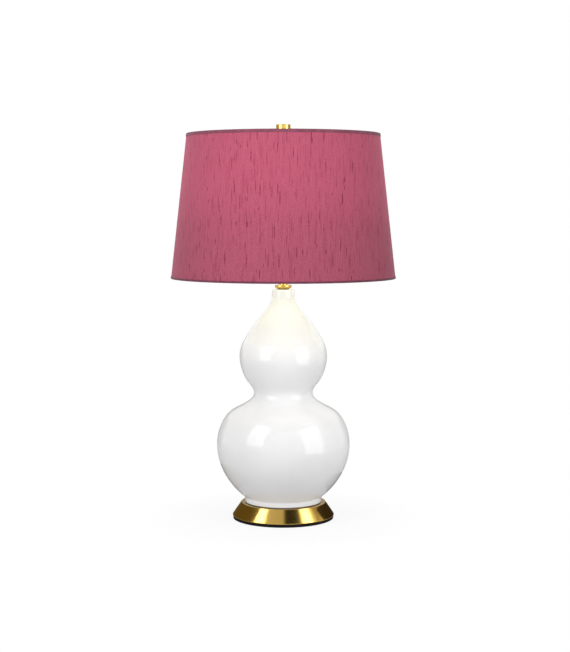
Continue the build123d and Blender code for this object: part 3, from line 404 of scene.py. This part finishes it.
def backingFinish(name, look):  # matt white film behind the cloth, lit by the bulb, with a painted glow for more of its light
    finish, shader, place = newFinish(name)
    fibres = place.stretched(1.0, 1.0, look["fibreSlack"]).noise(look["fibreScale"], detail=3.0, rough=0.6)
    cloud = place.noise(look["cloudScale"])
    tone = blended(look["toneShares"], fibres, cloud).ramp(*look["toneRange"])
    fill(shader, {
        "Base Color": tone.tint(look["face"], look["fibre"]),
        "Roughness": gritty(look, fibres),
        "Normal": bumps(fibres, look["fibreDepth"]),
        "Emission Color": cloud.ramp(*look["glowRange"]).tint(black, look["glow"]),
    }, {"Emission Strength": look["glowLevel"]})
    return finish


globe = dict(
    face=colour(250, 246, 238), cloudy=colour(243, 238, 228), cloudScale=30.0, cloudRange=(0.3, 0.7),
    roughness=0.34, grit=(0.08,), glow=colour(255, 240, 204), glowLevel=0.5,
    dimDepth=0.0113, fullRise=0.0187, dimLevel=0.7, patchy=0.1,  # the glow round the globe's lower edge
)


def globeFinish(name, look):  # opal plastic, lit from inside
    finish, shader, place = newFinish(name)
    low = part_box("bulb_globe")[0].z
    cloud = place.noise(look["cloudScale"])
    height = place.axes().part(2)
    rising = height.ramp(low - look["dimDepth"], low + look["fullRise"], look["dimLevel"], 1.0)
    glow = rising * (cloud * look["patchy"] + (1.0 - look["patchy"]))
    fill(shader, {
        "Base Color": cloud.ramp(*look["cloudRange"]).tint(look["face"], look["cloudy"]),
        "Roughness": gritty(look, cloud),
        "Emission Color": glow.tint(black, look["glow"]),
    }, {"Emission Strength": look["glowLevel"]})
    return finish


finishes = {
    "aged_brass": brassFinish("aged_brass", brass),
    "white_glaze": glazeFinish("white_glaze", glaze),
    "black_foam": foamFinish("black_foam", foam),
    "pink_slub_fabric": clothFinish("pink_slub_fabric", cloth, wall),
    "dark_hem_fabric": hemFinish("dark_hem_fabric", hem, wall),
    "white_backing": backingFinish("white_backing", backing),
    "opal_globe": globeFinish("opal_globe", globe),
}
for name, look in moulded.items():
    finishes[name] = mouldedFinish(name, look)
for name, look in plated.items():
    finishes[name] = platedFinish(name, look)
for node in nodes.values():
    for slot in node.material_slots:
        slot.material = finishes[slot.material.name.split(".")[0]]
for name in ("pink_slub_fabric", "opal_globe"):  # the bulb's own light stands for these glows
    finishes[name].cycles.emission_sampling = "NONE"
print("finishes:", len(finishes))


def latheTree(weld=1e-6):  # turns a profile of (radius, 0, height) points about Z, with a slight unevenness
    tree = bpy.data.node_groups.new("lathe", "GeometryNodeTree")
    for label, kind in (("Profile", "Geometry"), ("Segments", "Int"), ("Wobble", "Float"), ("Grain", "Float"),
                        ("Girth", "Float"), ("Rise", "Float"), ("Seed", "Float"), ("Material", "Material")):
        tree.interface.new_socket(label, in_out="INPUT", socket_type="NodeSocket" + kind)
    tree.interface.new_socket("Geometry", in_out="OUTPUT", socket_type="NodeSocketGeometry")
    start = tree.nodes.new("NodeGroupInput")
    given = {socket.name: Wire(tree, socket) for socket in start.outputs if socket.name}
    profile, segments = given["Profile"], given["Segments"]
    count = profile.node("GeometryNodeAttributeDomainSize", {"component": "MESH"}, {0: profile})
    columns = segments + 1.0
    grid = profile.node("GeometryNodeMeshGrid", {}, {"Vertices X": count, "Vertices Y": columns})
    index = profile.node("GeometryNodeInputIndex", {}, {})
    row = profile.math("FLOOR", (index + 0.5) / columns)
    around = (index - row * columns) / segments
    turn = around * math.tau
    here = profile.node("GeometryNodeInputPosition", {}, {})
    point = profile.node("GeometryNodeSampleIndex", {"data_type": "FLOAT_VECTOR", "domain": "POINT"}, {
        "Geometry": profile, "Value": here, "Index": row})
    radius = point.axes()
    height = radius.part(2)
    spun = profile.node("ShaderNodeCombineXYZ", {}, {
        0: radius * profile.math("SINE", turn), 1: radius * profile.math("COSINE", turn), 2: height})
    flat = profile.node("GeometryNodeFieldOnDomain", {"data_type": "FLOAT_VECTOR", "domain": "POINT"}, {
        0: profile.node("ShaderNodeCombineXYZ", {}, {0: around * given["Girth"], 1: height - given["Rise"]})})
    turned = profile.node("GeometryNodeSetPosition", {}, {"Geometry": grid, "Position": spun})
    mapped = profile.node("GeometryNodeStoreNamedAttribute", {"data_type": "FLOAT2", "domain": "CORNER"}, {
        "Geometry": turned, "Name": "UVMap", "Value": flat})
    closed = profile.node("GeometryNodeMergeByDistance", {}, {"Geometry": mapped, "Distance": weld})
    uneven = profile.node("ShaderNodeTexNoise", {"noise_dimensions": "4D"}, {
        "Vector": here, "W": given["Seed"], "Scale": given["Grain"], "Detail": 1.0})
    outward = profile.node("GeometryNodeInputNormal", {}, {})
    push = profile.node("ShaderNodeVectorMath", {"operation": "SCALE"}, {
        0: outward, "Scale": (uneven - 0.5) * given["Wobble"]})
    shaped = profile.node("GeometryNodeSetPosition", {}, {"Geometry": closed, "Offset": push})
    smooth = profile.node("GeometryNodeSetShadeSmooth", {}, {"Geometry": shaped, "Shade Smooth": True})
    real = profile.node("GeometryNodeRealizeInstances", {}, {"Geometry": smooth})
    done = profile.node("GeometryNodeSetMaterial", {}, {"Geometry": real, "Material": given["Material"]})
    end = tree.nodes.new("NodeGroupOutput")
    tree.links.new(done.socket, end.inputs[0])
    return tree


def linked(name, data):  # a new object at the origin, in the scene
    made = bpy.data.objects.new(name, data)
    scene.collection.objects.link(made)
    return made


def grow(name, seed, tree, values):  # runs a tree on a seed mesh and keeps the result as a plain mesh
    piece = linked(name, seed)
    grower = piece.modifiers.new("grow", "NODES")
    grower.node_group = tree
    for socket in tree.interface.items_tree:
        if socket.in_out == "INPUT" and socket.name in values:
            grower[socket.identifier] = values[socket.name]
    made = bpy.data.meshes.new_from_object(piece.evaluated_get(bpy.context.evaluated_depsgraph_get()))
    piece.modifiers.remove(grower)
    piece.data = made
    return piece


def profileMesh(name, line):  # a closed row of (radius, height) points, first one repeated at the end
    mesh = bpy.data.meshes.new(name)
    mesh.from_pydata([(r, 0.0, z) for r, z in [*line, line[0]]], [], [])
    return mesh


def rounded(corners, steps=4):  # (radius, height, rounding) corners to a row of points
    line = []
    for i, (r, z, rounding) in enumerate(corners):
        here = Vector((r, z))
        if not rounding:
            line.append((r, z))
            continue
        back = (Vector(corners[i - 1][:2]) - here).normalized()
        ahead = (Vector(corners[(i + 1) % len(corners)][:2]) - here).normalized()
        half = back.angle(ahead) / 2
        reach = rounding / math.tan(half)
        centre = here + (back + ahead).normalized() * (rounding / math.sin(half))
        first, last = here + back * reach - centre, here + ahead * reach - centre
        for step in range(steps + 1):
            way = first.lerp(last, step / steps).normalized() * rounding + centre
            line.append((way.x, way.y))
    return line


def smoothLine(points, firstWay, lastWay, count):  # a smooth row of points through the given ones
    p = np.array(points, float)
    gap = np.linalg.norm(np.diff(p, axis=0), axis=1)
    along = np.concatenate([[0.0], np.cumsum(gap)])
    rows, sides = np.eye(len(p)), np.zeros_like(p)
    sides[0], sides[-1] = firstWay, lastWay
    for i in range(1, len(p) - 1):
        rows[i, i - 1:i + 2] = gap[i], 2 * (gap[i - 1] + gap[i]), gap[i - 1]
        sides[i] = 3 * (gap[i] / gap[i - 1] * (p[i] - p[i - 1]) + gap[i - 1] / gap[i] * (p[i + 1] - p[i]))
    ways = np.linalg.solve(rows, sides)
    line = []
    for s in np.linspace(0.0, along[-1], count):
        i = min(int(np.searchsorted(along, s, side="right")) - 1, len(p) - 2)
        h, t = gap[i], (s - along[i]) / gap[i]
        line.append(p[i] * (1 + 2 * t) * (1 - t) ** 2 + ways[i] * h * t * (1 - t) ** 2
                    + p[i + 1] * t * t * (3 - 2 * t) + ways[i + 1] * h * t * t * (t - 1))
    return np.array(line)


lathe = latheTree()

gourd = dict(
    footRadius=0.0615, footHeight=0.008, ringWidth=0.009, recess=0.004, floorHole=0.009,
    bellyRadius=0.1062, bellyRise=0.0825, waistRadius=0.047, waistRise=0.0868,
    crownRadius=0.0698, crownRise=0.0562, neckRadius=0.018, neckRise=0.096, neckLength=0.011,
    neckHole=0.0065, roof=0.006, wall=0.005,
    lipEdge=0.0016, holeEdge=0.0008, footEdge=0.0011, ringEdge=0.0006, footFillet=0.0014,
    footWay=(0.8, 0.6), neckWay=(0.0, 1.0),  # the outline's direction where it starts and ends
    footToBelly=[(0.21, 0.41), (0.51, 0.776)],  # shares of the rise and of the change in radius
    bellyToWaist=[(0.453, 0.16), (0.626, 0.364), (0.73, 0.632), (0.811, 0.834), (0.893, 0.964)],
    waistToCrown=[(0.26, 0.39), (0.60, 0.82)],
    crownToNeck=[(0.2, 0.075), (0.335, 0.214), (0.535, 0.455), (0.735, 0.747), (0.868, 0.922), (0.94, 0.977)],
    outlinePoints=190, insideStep=4, segments=144, wobble=0.00012, grain=9.0, seed=3.0,
)


def makeGourd(look):  # the glazed shell, foot to neck, with its inside
    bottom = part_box("gourd_lower")[0].z
    stops = [(look["footRadius"], bottom + look["footHeight"])]
    for name, shares in (("belly", "footToBelly"), ("waist", "bellyToWaist"), ("crown", "waistToCrown"),
                         ("neck", "crownToNeck")):
        r, z = stops[-1]
        endR, rise = look[name + "Radius"], look[name + "Rise"]
        stops += [(r + (endR - r) * change, z + rise * share) for share, change in look[shares]]
        stops.append((endR, z + rise))
    outer = smoothLine(stops, look["footWay"], look["neckWay"], look["outlinePoints"])
    slope = np.gradient(outer, axis=0)
    slope /= np.linalg.norm(slope, axis=1)[:, None]
    inner = outer + np.stack([-slope[:, 1], slope[:, 0]], axis=1) * look["wall"]
    inner = inner[::-look["insideStep"]]  # from the neck down, in longer steps
    top = stops[-1][1] + look["neckLength"]
    ringInside, shelf = look["footRadius"] - look["ringWidth"], bottom + look["recess"]
    corners = [
        (ringInside, bottom, look["ringEdge"]),
        (look["footRadius"], bottom, look["footEdge"]),
        (look["footRadius"], bottom + look["footHeight"], look["footFillet"]),
        *[(r, z, 0.0) for r, z in outer[1:]],
        (look["neckRadius"], top, look["lipEdge"]),
        (look["neckHole"], top, look["holeEdge"]),
        (look["neckHole"], top - look["roof"], 0.0),
        (inner[0][0], top - look["roof"], 0.0),
        *[(r, z, 0.0) for r, z in inner],
        (look["floorHole"], inner[-1][1], 0.0),
        (look["floorHole"], shelf, 0.0),
        (ringInside, shelf, look["ringEdge"]),
    ]
    piece = grow("gourdBody", profileMesh("gourdProfile", rounded(corners)), lathe, {
        "Segments": look["segments"], "Wobble": look["wobble"], "Grain": look["grain"],
        "Girth": 1.0, "Rise": 0.0, "Seed": look["seed"], "Material": finishes["white_glaze"]})
    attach(piece, "lamp_stand")
    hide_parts("gourd_lower", "gourd_upper")
    return piece


gourdBody = makeGourd(gourd)
print("gourd: faces", len(gourdBody.data.polygons))


def makeCloth(look, cone):  # the shade's fabric, a thin cone
    low, high, wide, narrow = cone["low"], cone["high"], cone["wide"], cone["narrow"]
    outline = [(wide, low), (narrow, high), (narrow - look["thick"], high), (wide - look["thick"], low)]
    corners = [(r, z, look["edge"]) for r, z in outline]
    piece = grow("shadeCloth", profileMesh("clothProfile", rounded(corners)), lathe, {
        "Segments": look["segments"], "Wobble": 0.0, "Grain": 1.0, "Girth": cone["girth"], "Rise": low,
        "Seed": look["seed"], "Material": finishes["pink_slub_fabric"]})
    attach(piece, "shade")
    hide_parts("shade_fabric")
    return piece


shadeCloth = makeCloth(cloth, wall)
print("cloth: faces", len(shadeCloth.data.polygons))

hemShape = dict(
    thick=0.0006, topWidth=0.005, bottomWidth=0.0032, wall=0.0022, tuck=0.0015,
    wire=0.0018, overWire=0.00005, besideWire=0.00015,  # the ring's wire radius, and the hem's slack round it
    foldRound=1.2, endRound=0.45,  # roundings, as shares of the thickness
    segments=256, wobble=0.00022, grain=55.0, seed=7.0,
)


def makeHem(name, node, side, width, look, cone):  # side 1 folds over the bottom edge, -1 over the top one
    low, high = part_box(node)
    edge = low.z if side > 0 else high.z
    thick, wire = look["thick"], look["wire"]

    def wallAt(z):  # outer radius of the shade's wall, over the cloth
        return cone["wide"] + thick - (z - cone["low"]) * cone["lean"]

    outsideEnd, fold = edge + side * width, edge + side * thick
    ringZ = edge + side * (thick + wire + look["overWire"])
    tuckEnd = ringZ + side * (wire + look["tuck"])
    tuckOuter = wallAt(ringZ) - look["wall"] - wire * 2 - look["besideWire"]
    tuckInner = tuckOuter - thick
    bend, end = thick * look["foldRound"], thick * look["endRound"]
    corners = [
        (wallAt(outsideEnd), outsideEnd, end), (wallAt(edge), edge, bend),
        (tuckInner, edge, bend), (tuckInner, tuckEnd, end), (tuckOuter, tuckEnd, end),
        (tuckOuter, fold, 0.0), (wallAt(fold) - thick, fold, 0.0),
        (wallAt(outsideEnd) - thick, outsideEnd, end),
    ]
    if side > 0:
        corners = corners[::-1]
    piece = grow(name, profileMesh(name + "Profile", rounded(corners)), lathe, {
        "Segments": look["segments"], "Wobble": look["wobble"], "Grain": look["grain"],
        "Girth": cone["girth"], "Rise": edge, "Seed": look["seed"], "Material": finishes["dark_hem_fabric"]})
    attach(piece, "shade")
    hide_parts(node)
    return piece


topHem = makeHem("shadeTopHem", "shade_top_trim", -1, hemShape["topWidth"], hemShape, wall)
bottomHem = makeHem("shadeBottomHem", "shade_bottom_trim", 1, hemShape["bottomWidth"], hemShape, wall)

seam = dict(width=0.013, proud=0.00045, sunk=0.0001, columns=10, rows=24, shift=0.52)


def makeSeam(look, edges, cone):  # the lapped end of the cloth, a narrow strip up the back between the hems
    bottom, top = cone["low"] + edges["bottomWidth"], cone["high"] - edges["topWidth"]
    points, faces, flats = [], [], []
    ring = (look["columns"] + 1) * 2
    for j in range(look["rows"] + 1):
        z = bottom + (top - bottom) * j / look["rows"]
        radius = cone["wide"] - (z - cone["low"]) * cone["lean"]
        for i in range(ring):
            step = min(i, ring - 1 - i)
            side = (step / look["columns"] - 0.5) * look["width"]
            out = radius + (look["proud"] if i <= look["columns"] else -look["sunk"])
            points.append((-out * math.sin(side / radius), out * math.cos(side / radius), z))
            flats.append((look["shift"] + side, z - cone["low"]))
    for j in range(look["rows"]):
        for i in range(ring):
            here, beside = j * ring + i, j * ring + (i + 1) % ring
            faces.append((here, beside, beside + ring, here + ring))
    faces.append(tuple(range(ring))[::-1])
    faces.append(tuple(look["rows"] * ring + i for i in range(ring)))
    mesh = bpy.data.meshes.new("shadeSeam")
    mesh.from_pydata(points, [], faces)
    layer = mesh.uv_layers.new(name="UVMap")
    for loop in mesh.loops:
        layer.data[loop.index].uv = flats[loop.vertex_index]
    mesh.materials.append(finishes["pink_slub_fabric"])
    piece = linked("shadeSeam", mesh)
    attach(piece, "shade")
    return piece


shadeSeam = makeSeam(seam, hemShape, wall)
print("hems: faces", len(topHem.data.polygons) + len(bottomHem.data.polygons))

view = dict(lens=80.0, sensor=36.0, place=(0.0027, -2.302, 0.4978), target=(0.0027, 0.0, 0.3087))


def facing(place, target):  # the turn that points a camera or a lamp from a place at a target
    return (Vector(target) - Vector(place)).to_track_quat("-Z", "Y").to_euler()


cameraData = bpy.data.cameras.new("camera")
cameraData.lens, cameraData.sensor_width = view["lens"], view["sensor"]
camera = linked("camera", cameraData)
camera.location = view["place"]
camera.rotation_euler = facing(view["place"], view["target"])
scene.camera = camera
print("camera: lens", view["lens"])

lamps = dict(  # each softbox: turn from the camera's side, reach, height, aim and step aside, size, level
    shadeKey=dict(turn=-10.0, reach=2.0, height=1.0, aim=0.48, width=1.4, tall=0.9, level=28.8),
    shadeLeft=dict(turn=-82.0, reach=1.7, height=0.6, aim=0.48, width=0.8, tall=1.0, level=2.2),
    shadeRight=dict(turn=82.0, reach=1.7, height=0.6, aim=0.48, width=0.8, tall=1.0, level=2.6),
    bodyLeft=dict(turn=-48.0, reach=1.35, height=0.70, aim=0.25, width=1.05, tall=1.5, level=12.0),
    bodyRight=dict(turn=48.0, reach=1.35, height=0.70, aim=0.25, width=1.05, tall=1.5, level=12.9),
    backLeft=dict(turn=-148.0, reach=1.6, height=0.80, aim=0.30, width=1.0, tall=1.4, level=5.8),
    backRight=dict(turn=148.0, reach=1.6, height=0.80, aim=0.30, width=1.0, tall=1.4, level=5.8),
    windowLeft=dict(
        turn=-45.1, reach=0.568, height=0.446, aim=0.261, step=0.104, width=0.339, tall=0.542, level=1.4),
    windowRight=dict(
        turn=50.5, reach=0.678, height=0.329, aim=0.180, step=-0.107, width=0.441, tall=0.701, level=2.3),
    brassLeft=dict(turn=-48.0, reach=0.60, height=0.45, aim=0.45, width=0.30, tall=0.70, level=2.0),
    brassRight=dict(turn=52.0, reach=0.60, height=0.45, aim=0.45, width=0.36, tall=0.70, level=2.4),
    finialLeft=dict(turn=-49.0, reach=0.60, height=0.66, aim=0.62, width=0.35, tall=0.60, level=2.2),
    finialRight=dict(turn=58.0, reach=0.60, height=0.66, aim=0.62, width=0.35, tall=0.60, level=2.2),
    finialFront=dict(turn=5.0, reach=0.60, height=0.66, aim=0.62, width=0.68, tall=0.60, level=0.26),
    plinthLeft=dict(turn=-67.0, reach=0.85, height=0.85, aim=0.0, width=0.346, tall=0.56, level=2.5),
    plinthRight=dict(turn=70.2, reach=0.85, height=0.85, aim=0.0, width=0.36, tall=0.56, level=2.2),
)
discs = dict(  # light out of the shade's lower opening, and off the floor under the belly
    shadeSpill=dict(width=0.24, height=0.392, up=False, level=0.14, tint=(1.0, 0.985, 0.75)),
    footBounce=dict(width=0.19, height=0.028, up=True, level=0.022, tint=(0.93, 0.97, 1.0)),
)
bulb = dict(size=0.031, depth=0.030, level=0.9, tint=(1.0, 0.95, 0.82))  # depth is below the globe's top


def aimAt(lamp, name, pieces, how="INCLUDE"):  # lights only the named pieces, or all but them, and isn't seen
    subjects = bpy.data.collections.new(name)
    for piece in pieces:
        subjects.objects.link(piece)
    for item in subjects.collection_objects:
        item.light_linking.link_state = how
    lamp.light_linking.receiver_collection = subjects
    lamp.visible_camera = lamp.visible_glossy = False


def softbox(name, pieces, how="INCLUDE"):  # a flat lamp from the list, lighting the named pieces
    look = lamps[name]
    data = bpy.data.lights.new(name, "AREA")
    data.shape, data.size, data.size_y, data.energy = "RECTANGLE", look["width"], look["tall"], look["level"]
    lamp = linked(name, data)
    angle, step = math.radians(look["turn"]), look.get("step", 0.0)
    lamp.location = (math.sin(angle) * look["reach"], -math.cos(angle) * look["reach"], look["height"])
    lamp.rotation_euler = facing(lamp.location, (math.cos(angle) * step, math.sin(angle) * step, look["aim"]))
    aimAt(lamp, name, pieces, how)
    return lamp


def mirrored(lamp):  # shows in gloss instead of lighting
    lamp.visible_diffuse, lamp.visible_glossy = False, True
    lamp.data.use_nodes = True
    tree = lamp.data.node_tree
    tree.links.new(firstSight(tree).socket, tree.nodes["Emission"].inputs["Strength"])


def disc(name, pieces):  # a round flat light on the axis, facing down or up
    look = discs[name]
    data = bpy.data.lights.new(name, "AREA")
    data.shape, data.size, data.energy, data.color = "DISK", look["width"], look["level"], look["tint"]
    lamp = linked(name, data)
    lamp.location = (0.0, 0.0, look["height"])
    lamp.rotation_euler = (math.pi if look["up"] else 0.0, 0.0, 0.0)
    aimAt(lamp, name, pieces)


def bulbLamp(look):  # the bulb's own light, on all but its globe
    data = bpy.data.lights.new("bulbLight", "POINT")
    data.energy, data.color, data.shadow_soft_size = look["level"], look["tint"], look["size"]
    lamp = linked("bulbLight", data)
    lamp.location = (0.0, 0.0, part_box("bulb_globe")[1].z - look["depth"])
    aimAt(lamp, "bulbLight", [nodes["bulb_globe"]], "EXCLUDE")


shadePieces = [shadeCloth, topHem, bottomHem, shadeSeam]
for name in ("shadeKey", "shadeLeft", "shadeRight"):
    softbox(name, shadePieces)
for name in ("bodyLeft", "bodyRight"):
    softbox(name, shadePieces, "EXCLUDE")
for name in ("backLeft", "backRight"):
    softbox(name, [])  # no named pieces: it lights all
for name in ("windowLeft", "windowRight"):
    mirrored(softbox(name, [gourdBody]))
for name in ("brassLeft", "brassRight"):
    mirrored(softbox(name, [nodes["neck_cap"], nodes["neck_riser"]]))
for name in ("finialLeft", "finialRight", "finialFront"):
    mirrored(softbox(name, [nodes["finial_base"], nodes["finial_knob"]]))
for name in ("plinthLeft", "plinthRight"):
    mirrored(softbox(name, [nodes["plinth_shell"]]))
bulbLamp(bulb)
for name in discs:
    disc(name, [gourdBody])
print("lamps:", len(lamps) + len(discs) + 1)

ambient = 0.27  # the world's light on the object; the camera and gloss see it white
scene.world = bpy.data.worlds.new("studio")
scene.world.use_nodes = True
worldTree = scene.world.node_tree
sky = worldTree.nodes["Background"]
worldSeen, worldMirrored = raysIn(worldTree)
shown = worldSeen.math("MAXIMUM", worldSeen, worldMirrored)
sky.inputs["Color"].default_value = white
worldTree.links.new((shown * (1.0 - ambient) + ambient).socket, sky.inputs["Strength"])

floorLook = dict(
    size=8.0, paint=0.92, bounce=0.54, grain=600.0, grainLevel=0.02,
    nearReach=0.09, farReach=0.26, nearGlow=0.88, glossReach=2.0, nearGloss=0.08,
)


def makeFloor(look):  # white paper that keeps the lamp's shadow
    mesh = bpy.data.meshes.new("floor")
    half = look["size"] / 2
    corners = [(-half, -half, 0.0), (half, -half, 0.0), (half, half, 0.0), (-half, half, 0.0)]
    mesh.from_pydata(corners, [], [(0, 1, 2, 3)])
    floor = linked("floor", mesh)
    finish, shader, place = newFinish("floor_paper")
    tree = finish.node_tree
    across = place.node("ShaderNodeVectorMath", {"operation": "LENGTH"}, {0: place}, "Value")
    seen, glossy = raysIn(tree)
    glow = (across.ramp(look["nearReach"], look["farReach"], look["nearGlow"], 1.0) * seen
            + across.ramp(look["nearReach"], look["glossReach"], look["nearGloss"], 1.0) * glossy)
    grain = place.noise(look["grain"], detail=3.0) * look["grainLevel"]
    paint = seen * (look["paint"] - look["bounce"]) + grain + (look["bounce"] - look["grainLevel"] / 2)
    fill(shader, {"Base Color": paint.tint(black, white)}, {"Roughness": 0.9, "Specular IOR Level": 0.1})
    bright = place.node("ShaderNodeEmission", {}, {"Color": white, "Strength": 1.0})
    mixed = place.node("ShaderNodeMixShader", {}, {0: glow, 1: Wire(tree, shader.outputs[0]), 2: bright})
    tree.links.new(mixed.socket, tree.nodes["Material Output"].inputs["Surface"])
    finish.cycles.emission_sampling = "NONE"
    mesh.materials.append(finish)


makeFloor(floorLook)
print("floor: metres", floorLook["size"])

domes = dict(  # cards overhead: turns from the camera's side and rises in degrees, shade, reach
    cardFrontRight=dict(turns=(3, 52), rises=(45, 66), shade=(0.0, 0.0, 0.0), reach=1.7),
    cardFrontLeft=dict(turns=(-57, 3), rises=(45, 66), shade=(0.60, 0.58, 0.55), reach=1.7),
    cardFarRight=dict(turns=(93, 117), rises=(30, 52), shade=(0.44, 0.40, 0.33), reach=1.7),
)
screens = dict(  # upright cards: turns in degrees, heights in metres, shade, reach
    skirtLeft=dict(turns=(-136, -52), heights=(0.0, 0.08), shade=(0.13, 0.095, 0.035), reach=0.113),
    skirtRight=dict(turns=(74, 136), heights=(0.0, 0.06), shade=(0.04, 0.03, 0.02), reach=0.113),
    rimLeft=dict(turns=(-178, -128), heights=(0.0, 0.34), shade=(0.36, 0.36, 0.36), reach=0.8),
    rimRight=dict(turns=(128, 178), heights=(0.0, 0.34), shade=(0.40, 0.40, 0.40), reach=0.8),
    knobLeft=dict(turns=(-168, -72), heights=(0.59, 0.66), shade=(0.52, 0.46, 0.30), reach=0.05),
    knobRight=dict(turns=(80, 168), heights=(0.59, 0.66), shade=(0.40, 0.39, 0.22), reach=0.05),
)


def card(name, look, placeAt, steps=8):  # a studio card that only gloss sees
    points, faces = [], []
    for i in range(steps + 1):
        turn = math.radians(look["turns"][0] + (look["turns"][1] - look["turns"][0]) * i / steps)
        for j in range(steps + 1):
            out, up = placeAt(look, j / steps)
            points.append((out * math.sin(turn), -out * math.cos(turn), up))
    for i in range(steps):
        for j in range(steps):
            at = i * (steps + 1) + j
            faces.append((at, at + 1, at + steps + 2, at + steps + 1))
    mesh = bpy.data.meshes.new(name)
    mesh.from_pydata(points, [], faces)
    flag = linked(name, mesh)
    finish, _, place = newFinish(name)
    glow = place.node("ShaderNodeEmission", {}, {
        "Color": (*look["shade"], 1.0), "Strength": firstSight(place.tree)})
    place.tree.links.new(glow.socket, place.tree.nodes["Material Output"].inputs["Surface"])
    finish.cycles.emission_sampling = "NONE"
    mesh.materials.append(finish)
    flag.visible_camera = flag.visible_diffuse = flag.visible_shadow = flag.visible_transmission = False


def domeAt(look, share):  # radius and height, part of the way up an overhead card
    rise = math.radians(look["rises"][0] + (look["rises"][1] - look["rises"][0]) * share)
    return look["reach"] * math.cos(rise), look["reach"] * math.sin(rise)


def screenAt(look, share):  # the same for an upright one
    return look["reach"], look["heights"][0] + (look["heights"][1] - look["heights"][0]) * share


for name, look in domes.items():
    card(name, look, domeAt)
for name, look in screens.items():
    card(name, look, screenAt)
print("studio: cards", len(domes) + len(screens))

scene.view_settings.view_transform = "Standard"
